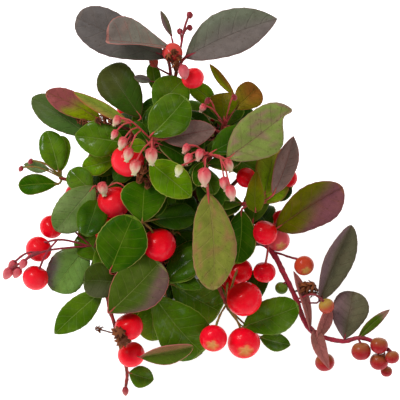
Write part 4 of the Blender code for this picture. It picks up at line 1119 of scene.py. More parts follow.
    def grow_leaf(self, shoot: Shoot, leaf: Leaf) -> None:
        """Grow a named leaf, leaning a little more or less where its place is taken.

        Args:
            shoot: the leaf's shoot.
            leaf: the leaf.
        """
        axes = shoot.axes
        anchor = self.station(shoot, leaf.back)
        root = self.root(shoot, leaf.back)
        for lean_shift, turn_shift in LEAF_SHIFTS:
            turn = math.radians(leaf.turn + turn_shift)
            lean = math.radians(leaf.lean + lean_shift)
            along = axes.place(math.cos(lean) * math.cos(turn), math.cos(lean) * math.sin(turn),
                               math.sin(lean))
            normal = square_to(axes.out, along)
            roll = math.radians(leaf.roll)
            normal = normal * math.cos(roll) + along.cross(normal) * math.sin(roll)
            base = anchor + axes.place(*leaf.base) + along * PETIOLE_LENGTH
            if self.try_leaf(shoot, LeafPlace(leaf, root, base, along, normal)):
                return

    def grow_fruit(self, shoot: Shoot, fruit: Berry | Flower) -> None:
        """Grow a berry or a flower on its arched stalk, shifted until its place is free.

        Args:
            shoot: the fruit's shoot.
            fruit: the berry or the flower.
        """
        axes = shoot.axes
        anchor = self.station(shoot, fruit.back)
        root = self.root(shoot, fruit.back)
        for shift, arch in product(FRUIT_SHIFTS, STALK_ARCHES):
            offset = axes.place(fruit.across, fruit.up, fruit.out + shift)
            swing = flattened(offset) * FRUIT_SWING + flattened(axes.out) * FRUIT_NOD
            hang = (swing - UPWARD).normalized()
            centre = anchor + offset
            top = centre - hang * (fruit.size * FRUIT_CROWN)
            bend = root.lerp(top, STALK_BEND) + UPWARD * (arch * (top - root).length)
            line = (root, bend, top + hang * STALK_END_SINK)
            outer = (root.lerp(bend, STALK_OWN_START), bend, top)
            stalk = Solids.tube(line, (ROOT_RADIUS, STALK_RADIUS, STALK_RADIUS), STALK_SIDES)
            wide_stalk = Solids.tube(line, [STALK_RADIUS + GAP] * 3, STALK_SIDES)
            own_stalk = Solids.tube(outer, [STALK_RADIUS] * 3, STALK_SIDES)
            if isinstance(fruit, Berry):
                body = Solids.berry(centre, hang, fruit.size / 2)
                wide = Solids.berry(centre, hang, fruit.size / 2 + GAP)
            else:
                body = Solids.flower(top, hang, fruit.size)
                wide = Solids.flower(top - hang * GAP, hang, fruit.size + GAP * 3)
            if self.clear(shoot.name, wide, body) and self.clear(shoot.name, wide_stalk, own_stalk):
                self.keep(shoot.name, stalk, own_stalk)
                self.keep(shoot.name, body, body)
                self.fruits[shoot.name].append(FruitPlace(fruit, root, bend, top, hang, centre))
                return

    def grow_husk(self, shoot: Shoot, husk: Husk) -> None:
        """Hang a dried husk from its twig.

        Args:
            shoot: the husk's shoot.
            husk: the husk.
        """
        root = self.root(shoot, husk.back)
        top = self.station(shoot, husk.back) + shoot.axes.place(husk.across, husk.up, husk.out)
        hang = (top - root).normalized()
        place = FruitPlace(husk, root, root.lerp(top, 0.5), top, hang, top + hang * (husk.size / 2))
        self.fruits[shoot.name].append(place)

    def fill(self, shoot: Shoot, seed: int, wanted: int, lengths: tuple[float, float],
             windows: Sequence[Point], backward: bool = False) -> None:
        """Grow the seeded leaves that fill a shoot out below its named ones.

        Args:
            shoot: the shoot.
            seed: what its random draws start from.
            wanted: how many leaves it gets where they find room.
            lengths: the least and the greatest length of a leaf.
            windows: what the leaves may not cover.
            backward: whether they all grow to the plant's back.
        """
        dice = random.Random(seed)
        looks = FILL_LOOKS if shoot.bearing == FACE_BEARING else SIDE_LOOKS
        grown = 0
        for index in range(wanted * FILL_TRIES):
            if grown == wanted:
                return
            turn = math.radians(shoot.bearing + GOLDEN_TURN * index + dice.uniform(-FILL_SWAY, FILL_SWAY))
            pitch = math.radians(dice.uniform(*FILL_PITCH))
            length = dice.uniform(*lengths)
            leaf = Leaf(0, length, length * dice.uniform(*FILL_WIDTH), fold=dice.uniform(*FILL_FOLD),
                        curl=dice.uniform(*FILL_CURL), look=looks[(seed + index) % len(looks)],
                        form=FILL_FORMS[index % len(FILL_FORMS)], named=False)
            step = FILL_LEVEL_RANGE[0] + FILL_LEVEL_RANGE[1] * (index % FILL_LEVELS) / FILL_LEVELS
            root = self.station(shoot, shoot.twig * step)
            radial = level(turn)
            if backward:
                radial.y = abs(radial.y)
            along = radial * math.cos(pitch) + UPWARD * math.sin(pitch)
            normal = square_to(radial * FILL_FACING + UPWARD, along)
            place = LeafPlace(leaf, root, root + along * FILL_PETIOLE, along, normal)
            if self.in_own_space(Solids.leaf(place), windows):
                grown += self.try_leaf(shoot, place)


class Signal:
    """A shader socket that can be used in sums."""

    def __init__(self, shader: "Shader", socket: bpy.types.NodeSocket) -> None:
        """Keep the socket and the shader it belongs to."""
        self.shader = shader
        self.socket = socket

    def _maths(self, operation: str, *terms: Term) -> "Signal":
        """Return the result of a Math node on the terms."""
        return self.shader.node("ShaderNodeMath", {"operation": operation}, *terms)

    def __add__(self, other: Term) -> "Signal":
        """Return the sum."""
        return self._maths("ADD", self, other)

    __radd__ = __add__

    def __sub__(self, other: Term) -> "Signal":
        """Return the difference."""
        return self._maths("SUBTRACT", self, other)

    def __rsub__(self, other: Term) -> "Signal":
        """Return the difference the other way round."""
        return self._maths("SUBTRACT", other, self)

    def __mul__(self, other: Term) -> "Signal":
        """Return the product."""
        return self._maths("MULTIPLY", self, other)

    __rmul__ = __mul__

    def __abs__(self) -> "Signal":
        """Return the value without its sign."""
        return self._maths("ABSOLUTE", self)

    def fraction(self) -> "Signal":
        """Return the part after the point."""
        return self._maths("FRACT", self)

    def above(self, limit: Number) -> "Signal":
        """Return 1 above the limit and 0 below it."""
        return self._maths("GREATER_THAN", self, limit)

    def rise(self, low: Number, high: Term) -> "Signal":
        """Return a smooth rise from 0 at low to 1 at high."""
        return self.shader.node("ShaderNodeMapRange", {"interpolation_type": "SMOOTHSTEP"},
                                Value=self, From_Min=low, From_Max=high)

    def parts(self) -> tuple["Signal", "Signal", "Signal"]:
        """Return the X, Y and Z of a vector."""
        node = self.shader.raw("ShaderNodeSeparateXYZ", {}, self)
        return tuple(Signal(self.shader, socket) for socket in node.outputs)

    def scaled(self, factor: Term) -> "Signal":
        """Return a colour or a vector times a number."""
        return self.shader.node("ShaderNodeVectorMath", {"operation": "SCALE"}, Vector=self, Scale=factor)


class Shader:
    """Builds one material's node tree."""

    def __init__(self, name: str) -> None:
        """Start a material with a bare Principled shader.

        Args:
            name: the material's name.
        """
        self.material = bpy.data.materials.new(name)
        self.material.use_nodes = True
        self.tree = self.material.node_tree
        self.principled = self.tree.nodes["Principled BSDF"]

    def raw(self, kind: str, settings: dict, *terms: Feed, **sockets: Feed) -> bpy.types.Node:
        """Add a node.

        Args:
            kind: the node's type.
            settings: the node's own settings, which are set first.
            terms: values or links of its first inputs, in order.
            sockets: values or links of its inputs by name, with _ for a space.

        Returns:
            The node.
        """
        node = self.tree.nodes.new(kind)
        for key, value in settings.items():
            setattr(node, key, value)
        inputs = [socket for socket in node.inputs if socket.enabled]
        named = {socket.name.replace(" ", "_"): socket for socket in inputs}
        for socket, value in [*zip(inputs, terms), *((named[key], value) for key, value in sockets.items())]:
            self.feed(socket, value)
        return node

    def node(self, kind: str, settings: dict, *terms: Feed, **sockets: Feed) -> Signal:
        """Return the first output in use of a new node."""
        outputs = self.raw(kind, settings, *terms, **sockets).outputs
        return Signal(self, next(socket for socket in outputs if socket.enabled))

    def feed(self, socket: bpy.types.NodeSocket, value: Feed) -> None:
        """Link a socket to a signal, or set it to a value.

        Args:
            socket: the socket.
            value: the signal or the value.
        """
        if isinstance(value, Signal):
            self.tree.links.new(value.socket, socket)
        elif socket.type == "RGBA":
            socket.default_value = (*value, 1.0)
        else:
            socket.default_value = value

    def place(self) -> Signal:
        """Return the Object coordinates in metres."""
        node = self.raw("ShaderNodeTexCoord", {})
        return Signal(self, node.outputs["Object"])

    def attribute(self, name: str, output: str = "Color") -> Signal:
        """Return an attribute of the mesh."""
        node = self.raw("ShaderNodeAttribute", {"attribute_name": name})
        return Signal(self, node.outputs[output])

    def noise(self, grain: float, detail: float = 3.0, roughness: float = 0.5) -> Signal:
        """Return cloudy noise from 0 to 1 whose patches are a grain wide, in millimetres."""
        return self.node("ShaderNodeTexNoise", {}, Vector=self.place(), Scale=1 / (grain * METRES),
                         Detail=detail, Roughness=roughness)

    def cells(self, grain: float, feature: str = "F1") -> Signal:
        """Return a pattern of cells a grain wide, in millimetres."""
        return self.node("ShaderNodeTexVoronoi", {"feature": feature}, Vector=self.place(),
                         Scale=1 / (grain * METRES))

    def mix(self, share: Signal | Number, first: Signal | Colour, second: Signal | Colour) -> Signal:
        """Return a colour mixed from two."""
        return self.node("ShaderNodeMix", {"data_type": "RGBA"}, Factor=share, A=first, B=second)

    def bump(self, height: Signal, depth: float) -> Signal:
        """Return a normal that rises by a depth, in millimetres, where the height is 1."""
        return self.node("ShaderNodeBump", {}, Strength=1.0, Distance=depth * METRES, Height=height)

    def finish(self, **sockets: Feed) -> bpy.types.Material:
        """Close the material.

        Args:
            sockets: values or links of the Principled shader's inputs by name, with _ for a space.

        Returns:
            The material.
        """
        for key, value in sockets.items():
            self.feed(self.principled.inputs[key.replace("_", " ")], value)
        return self.material


@dataclass(frozen=True)
class LeafFinish:
    """A leaf's surface: glossy above with a fine midrib and veins, paler and matt below."""

    rim_width: float = 0.42
    rib_width: float = 0.34
    vein_pairs: float = 6.5
    vein_sweep: float = 1.15
    vein_wander: float = 0.22
    vein_width: tuple[float, float] = (0.02, 0.09)
    vein_end: tuple[float, float] = (0.7, 0.95)
    mottle_grain: float = 3.2
    cell_grain: float = 0.7
    patch_grain: float = 8.0
    speck_grain: float = 2.2
    wet_grain: float = 3.6
    wear_grain: float = 6.0
    roughness: tuple[float, float] = (0.24, 0.42)
    wet_coat: float = 0.5
    relief: float = 0.3
    speck: Colour = srgb(70, 52, 28)
    pale_grain: float = 2.4
    pale_relief: float = 0.14
    pale: Colour = srgb(132, 146, 96)
    pale_vein: Colour = srgb(170, 176, 120)

    def veins(self, shader: Shader) -> tuple[Signal, Signal, Signal]:
        """Draw the lines of a leaf.

        Args:
            shader: the shader that they are drawn in.

        Returns:
            The masks of the rim, of the midrib and of the side veins.
        """
        across, along, half = shader.attribute("blade", "Vector").parts()
        edge = abs(across)
        rim = 1 - ((1 - edge) * half).rise(self.rim_width * 0.35, self.rim_width)
        rib = 1 - (edge * half).rise(0.1, self.rib_width * (1.25 - along))
        wander = shader.noise(5.0) * self.vein_wander
        phase = along * self.vein_pairs - edge * self.vein_sweep + across.above(0.0) * 0.5 + wander
        line = 1 - abs(phase.fraction() - 0.5).rise(*self.vein_width)
        return rim, rib, line * (1 - edge.rise(*self.vein_end))

    def top(self) -> bpy.types.Material:
        """Make the material of the upper side.

        Returns:
            The material.
        """
        shader = Shader("leaf_top")
        rim, rib, line = self.veins(shader)
        mottle = shader.noise(self.mottle_grain, 4.0)
        fine = shader.cells(self.cell_grain, "DISTANCE_TO_EDGE").rise(0.0, 0.35)
        patch = shader.noise(self.patch_grain, 2.0).rise(0.5, 0.72)
        speck = 1 - shader.cells(self.speck_grain).rise(0.1, 0.24)
        wet = shader.noise(self.wet_grain, 4.0).rise(0.48, 0.7) * shader.attribute("body", "Alpha")
        worn = shader.noise(self.wear_grain, 2.0)
        midrib = shader.attribute("midrib")
        body = shader.attribute("body").scaled(0.58 + 0.64 * mottle + 0.12 * fine)
        base = shader.mix(patch * 0.16 + line * 0.16, body, midrib)
        base = shader.mix(speck * 0.3, base, self.speck)
        base = shader.mix(rib * 0.6, base, midrib)
        base = shader.mix(rim * 0.75, base, shader.attribute("rim"))
        low, high = self.roughness
        height = mottle * 0.6 + fine * 0.2 - line * 0.5 - rib * 0.8
        return shader.finish(Base_Color=base, Roughness=low + (high - low) * worn + 0.06 * rim,
                             Normal=shader.bump(height, self.relief), Specular_IOR_Level=0.02,
                             Coat_Weight=0.02 + self.wet_coat * wet, Coat_Roughness=0.14)

    def underside(self) -> bpy.types.Material:
        """Make the material of the lower side, where the veins stand out.

        Returns:
            The material.
        """
        shader = Shader("leaf_underside")
        rim, rib, line = self.veins(shader)
        mottle = shader.noise(self.pale_grain, 4.0)
        body = shader.mix(0.5, shader.attribute("body"), self.pale).scaled(0.78 + 0.34 * mottle)
        base = shader.mix(line * 0.35 + rib * 0.6, body, self.pale_vein)
        base = shader.mix(rim * 0.6, base, shader.attribute("rim"))
        height = line * 0.6 + rib + mottle * 0.4
        return shader.finish(Base_Color=base, Roughness=0.5 + 0.14 * mottle, Specular_IOR_Level=0.2,
                             Normal=shader.bump(height, self.pale_relief))


@dataclass(frozen=True)
class BerryFinish:
    """A berry's taut glossy skin with faint flecks."""

    cloud_grain: float = 3.0
    fleck_grain: float = 0.55
    fleck: Colour = srgb(236, 130, 100)
    relief: float = 0.1

    def material(self) -> bpy.types.Material:
        """Make the skin's material.

        Returns:
            The material.
        """
        shader = Shader("berry_skin")
        cloud = shader.noise(self.cloud_grain, 3.0)
        fleck = shader.cells(self.fleck_grain).rise(0.1, 0.3)
        body = shader.attribute("body").scaled(0.92 + 0.3 * cloud)
        base = shader.mix((1 - fleck) * 0.16, body, self.fleck)
        return shader.finish(Base_Color=base, Roughness=0.3 + 0.12 * cloud, Specular_IOR_Level=0.1,
                             Coat_Weight=0.16, Coat_Roughness=0.06,
                             Normal=shader.bump(cloud + fleck * 0.1, self.relief))


@dataclass(frozen=True)
class FlowerFinish:
    """A waxy petal or the matt skin of a sepal, with clouds in its tone."""

    name: str
    grain: float
    detail: float
    darkest: float
    cloud: float
    roughness: float
    shine: float
    relief: float

    def material(self) -> bpy.types.Material:
        """Make the skin's material.

        Returns:
            The material.
        """
        shader = Shader(self.name)
        cloud = shader.noise(self.grain, self.detail)
        base = shader.attribute("body").scaled(self.darkest + self.cloud * cloud)
        return shader.finish(Base_Color=base, Roughness=self.roughness + 0.15 * cloud,
                             Specular_IOR_Level=self.shine, Normal=shader.bump(cloud, self.relief))


PETAL = FlowerFinish("petal", 1.6, 3.0, 0.86, 0.24, 0.4, 0.3, 0.1)
SEPAL = FlowerFinish("sepal", 0.9, 4.0, 0.66, 0.6, 0.62, 0.25, 0.35)


@dataclass(frozen=True)
class WoodFinish:
    """A young stem's thin skin: two tones that run in streaks along it."""

    name: str
    first: Colour
    second: Colour
    roughness: float
    grain: float

    def material(self) -> bpy.types.Material:
        """Make the skin's material.

        Returns:
            The material.
        """
        shader = Shader(self.name)
        streak = shader.noise(self.grain, 4.0, 0.6)
        fleck = shader.cells(self.grain * 0.5).rise(0.05, 0.3)
        base = shader.mix(streak.rise(0.35, 0.65), self.first, self.second).scaled(0.82 + 0.2 * fleck)
        return shader.finish(Base_Color=base, Roughness=self.roughness + 0.15 * streak,
                             Specular_IOR_Level=0.28, Normal=shader.bump(streak + fleck * 0.3, 0.25))


class WoodTone(Enum):
    """The kinds of stem and stalk, with their finishes."""

    BARK = WoodFinish("bark", srgb(112, 58, 34), srgb(70, 40, 26), 0.66, 2.2)
    RED_TWIG = WoodFinish("twig_skin", srgb(164, 52, 50), srgb(112, 46, 34), 0.5, 2.6)
    CRIMSON = WoodFinish("crimson_twig", srgb(176, 36, 62), srgb(136, 44, 52), 0.44, 2.6)
    RED_STALK = WoodFinish("red_stalk", srgb(206, 62, 72), srgb(178, 84, 66), 0.42, 1.8)
    DARK_STALK = WoodFinish("dark_stalk", srgb(158, 42, 62), srgb(122, 52, 50), 0.44, 1.8)
    GREEN_STALK = WoodFinish("green_stalk", srgb(112, 112, 36), srgb(146, 96, 48), 0.46, 1.8)


STALK_TONES = {
    **dict.fromkeys(("crown_top", "trailing", "left_low"), WoodTone.DARK_STALK),
    **dict.fromkeys(("lower_right", "left_sprig", "bottom", "heart", "front_middle"), WoodTone.GREEN_STALK),
}


@dataclass(frozen=True)
class PotFinish:
    """Black moulded plastic with dust and fine scuffs."""

    plastic: Colour = srgb(30, 30, 32)
    dust: Colour = srgb(104, 94, 80)
    dust_grain: float = 9.0
    scuff_grain: float = 4.0
    grain: float = 0.5
    relief: float = 0.05

    def material(self) -> bpy.types.Material:
        """Make the plastic's material.

        Returns:
            The material.
        """
        shader = Shader("pot_plastic_dressed")
        height = shader.place().parts()[2].rise(0.0, POT_HEIGHT * METRES)
        dust = shader.noise(self.dust_grain, 5.0, 0.6).rise(0.5, 0.8) * (1 - height)
        scuff = shader.cells(self.scuff_grain, "DISTANCE_TO_EDGE").rise(0.0, 0.02)
        grain = shader.noise(self.grain, 2.0)
        base = shader.mix(dust * 0.4 + (1 - scuff) * 0.04, self.plastic, self.dust)
        return shader.finish(Base_Color=base, Roughness=0.42 + 0.2 * dust + 0.08 * grain,
                             Normal=shader.bump(grain, self.relief))


@dataclass(frozen=True)
class PeatFinish:
    """Moist dark peat: fine crumbs with a few paler fibres."""

    dark: Colour = srgb(34, 23, 17)
    brown: Colour = srgb(92, 62, 42)
    fibre: Colour = srgb(132, 98, 66)
    crumb_grain: float = 1.6
    fibre_grain: float = 0.8
    relief: float = 0.9

    def material(self) -> bpy.types.Material:
        """Make the peat's material.

        Returns:
            The material.
        """
        shader = Shader("peat_dressed")
        crumb = shader.noise(self.crumb_grain, 6.0, 0.7)
        fibre = shader.cells(self.fibre_grain)
        base = shader.mix(crumb.rise(0.35, 0.7), self.dark, self.brown)
        base = shader.mix(fibre.rise(0.55, 0.8) * 0.5, base, self.fibre)
        return shader.finish(Base_Color=base, Roughness=0.86 + 0.1 * crumb,
                             Normal=shader.bump(crumb + fibre * 0.5, self.relief))


@dataclass(frozen=True)
class FloorFinish:
    """White paper that glows a little."""

    tooth_grain: float = 40.0
    grey: Colour = (0.86, 0.86, 0.86)
    white: Colour = (0.9, 0.9, 0.9)
    glow: float = 0.8

    def material(self) -> bpy.types.Material:
        """Make the paper's material.

        Returns:
            The material.
        """
        shader = Shader("floor_paper")
        base = shader.mix(shader.noise(self.tooth_grain, 3.0), self.grey, self.white)
        return shader.finish(Base_Color=base, Roughness=0.9, Emission_Color=(1.0, 1.0, 1.0),
                             Emission_Strength=self.glow)


def as_mesh(name: str, shell: Shell) -> bpy.types.Mesh:
    """Make a mesh from a bmesh.

    Args:
        name: the mesh's name.
        shell: the bmesh.

    Returns:
        The mesh.
    """
    mesh = bpy.data.meshes.new(name)
    shell.to_mesh(mesh)
    return mesh


def in_scene(name: str, data: bpy.types.ID) -> bpy.types.Object:
    """Add an object to the scene.

    Args:
        name: the object's name.
        data: its mesh, light or camera.

    Returns:
        The object.
    """
    thing = bpy.data.objects.new(name, data)
    bpy.context.scene.collection.objects.link(thing)
    return thing


def corners_of(parts: Sequence[object]) -> set[bmesh.types.BMVert]:
    """Return the corners among the parts of a bmesh."""
    return {part for part in parts if isinstance(part, bmesh.types.BMVert)}


def faces_at(verts: Sequence[bmesh.types.BMVert]) -> set[bmesh.types.BMFace]:
    """Return the faces that meet at some corners."""
    return {face for vert in verts for face in vert.link_faces}


@dataclass
class Piece:
    """One joined mesh of the plant, shaped in millimetres."""

    name: str
    materials: Sequence[bpy.types.Material]
    slot: str
    shell: Shell = field(default_factory=bmesh.new)

    def finish(self, *nodes: str) -> bpy.types.Object:
        """Make the scene object.

        Args:
            nodes: the CAD nodes that the piece stands for.

        Returns:
            The object, at the origin, riding on the root.
        """
        bmesh.ops.scale(self.shell, vec=(METRES, METRES, METRES), verts=self.shell.verts)
        mesh = as_mesh(self.name, self.shell)
        self.shell.free()
        for material in self.materials:
            mesh.materials.append(material)
        mesh.shade_smooth()
        thing = in_scene(self.name, mesh)
        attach(thing, "root")
        if nodes:
            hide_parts(*nodes)
        log.info("%s: %d faces", self.name, len(mesh.polygons))
        return thing


@dataclass
class Foliage:
    """The leaves of the plant, one joined piece for each shoot."""

    finish: LeafFinish = LeafFinish()
    across: int = 10
    along: int = 20
    edge_crowding: float = 0.82
    tip_crowding: float = 1.45
    thickness: float = 0.3
    dome: float = 0.09
    droop: float = 0.07
    groove: float = 0.24
    groove_width: float = 0.5
    fold_width: float = 0.8
    tooth: float = 0.02
    wobble: float = 0.035
    wobbles: float = 9.0
    wave: float = 0.03
    waves: tuple[float, float] = (1.7, 8.0)
    sway: float = 0.035
    tone: float = 0.1
    edge: float = 0.99
    clouds: tuple[float, float] = (1.3, 2.4)
    flecks: tuple[float, float] = (4.2, 7.5)
    seam: float = 1e-3

    def build(self, growth: Growth) -> None:
        """Make the leaves of every shoot.

        Args:
            growth: the grown plant.
        """
        materials = [self.finish.top(), self.finish.underside()]
        for seed, shoot in enumerate(SHOOTS):
            piece = Piece(f"{shoot.name}_foliage", materials, "foliage")
            piece.shell.verts.layers.float_vector.new("blade")
            for name in ("body", "rim", "midrib"):
                piece.shell.verts.layers.float_color.new(name)
            dice = random.Random(seed)
            for place in growth.leaves[shoot.name]:
                self.blade(piece.shell, place, dice)
            piece.finish(f"{shoot.name}_leaves")

    def blade(self, shell: Shell, place: LeafPlace, dice: random.Random) -> None:
        """Shape one leaf from a flat grid that is given its thickness and then cupped.

        Args:
            shell: the bmesh that the leaf joins.
            place: where the leaf has grown.
            dice: the seeded numbers that make leaves differ.
        """
        leaf = place.leaf
        tint = leaf.look.value
        tone = 1 + dice.uniform(-self.tone, self.tone)
        phase = dice.uniform(0, math.tau)
        sway = dice.uniform(-self.sway, self.sway) * leaf.length
        blade = shell.verts.layers.float_vector["blade"]
        body, rim, midrib = (shell.verts.layers.float_color[name] for name in ("body", "rim", "midrib"))
        verts = self.slab(shell)
        for vert in verts:
            column, row, layer = vert.co
            across = math.copysign(abs(column) ** self.edge_crowding, column)
            along = 1 - (1 - (row + 1) / 2) ** self.tip_crowding
            half = leaf.form.half_width(along, leaf.width)
            half *= 1 + self.wobble * math.sin(phase * 5 + self.wobbles * along + math.copysign(2, across))
            for bite in leaf.bites:
                if across * bite.side > 0:
                    half *= 1 - bite.depth * math.exp(-((along - bite.along) / bite.reach) ** 2)
            cloud = self.patches(across, along, self.clouds, phase * 3)
            fleck = self.patches(across, along, self.flecks, phase * 2)
            share = tint.flush.share(across, along, cloud, fleck)
            vert[blade] = (across, along, half)
            vert[body] = (*(value * tone for value in blend(tint.body, tint.second, share)), tint.wet)
            vert[rim] = (*tint.rim, 1.0)
            vert[midrib] = (*tint.midrib, 1.0)
            if abs(column) > self.edge and round((row + 1) / 2 * self.along) % 2:
                half *= 1 - self.tooth
            vert.co = self.point(place, across, along, half, layer, phase, sway)
        bmesh.ops.remove_doubles(shell, verts=list(verts), dist=self.seam)

    def slab(self, shell: Shell) -> set[bmesh.types.BMVert]:
        """Lay a flat square slab, with the second material on its lower side.

        Args:
            shell: the bmesh that the slab joins.

        Returns:
            The slab's corners.
        """
        grid = bmesh.ops.create_grid(shell, x_segments=self.across, y_segments=self.along, size=1.0)["verts"]
        walls = bmesh.ops.solidify(shell, geom=list(faces_at(grid)), thickness=self.thickness)
        verts = {*grid, *corners_of(walls["geom"])}
        for face in faces_at(verts):
            face.material_index = int(all(vert.co.z < -self.thickness / 2 for vert in face.verts)
                                      or all(vert.co.z > self.thickness / 2 for vert in face.verts))
        return verts

    @staticmethod
    def patches(across: float, along: float, counts: tuple[float, float], seed: float) -> float:
        """Return a wandering value about 0, with so many patches across and along the blade."""
        return noise.noise(Vector((across * counts[0], along * counts[1], seed)))

    def point(self, place: LeafPlace, across: float, along: float, half: float, layer: float,
              phase: float, sway: float) -> Vector:
        """Find the place of one corner of a cupped leaf.

        Args:
            place: where the leaf has grown.
            across: the corner's place from -1 to 1 across the blade.
            along: its place from 0 to 1 along the blade.
            half: the blade's half width there.
            layer: its height in the flat slab.
            phase: where the leaf's waves start.
            sway: how far its middle bows sideways.

        Returns:
            The corner's place.
        """
        leaf = place.leaf
        centre, up = place.midrib(along)
        offset = across * half
        slope = math.tan(math.radians(leaf.fold))
        lift = slope * (math.hypot(offset, self.fold_width) - self.fold_width)
        lift += self.dome * half * (1 - (2 * abs(across) - 1) ** 2)
        lift -= self.droop * half * across ** 4
        lift -= self.groove * math.exp(-(offset / self.groove_width) ** 2) * (1 - 0.6 * along)
        wave = math.sin(phase + self.waves[1] * along + self.waves[0] * across)
        lift += self.wave * leaf.width * wave * across ** 2
        return centre + place.side * (offset + sway * math.sin(math.pi * along)) + up * (lift + layer)


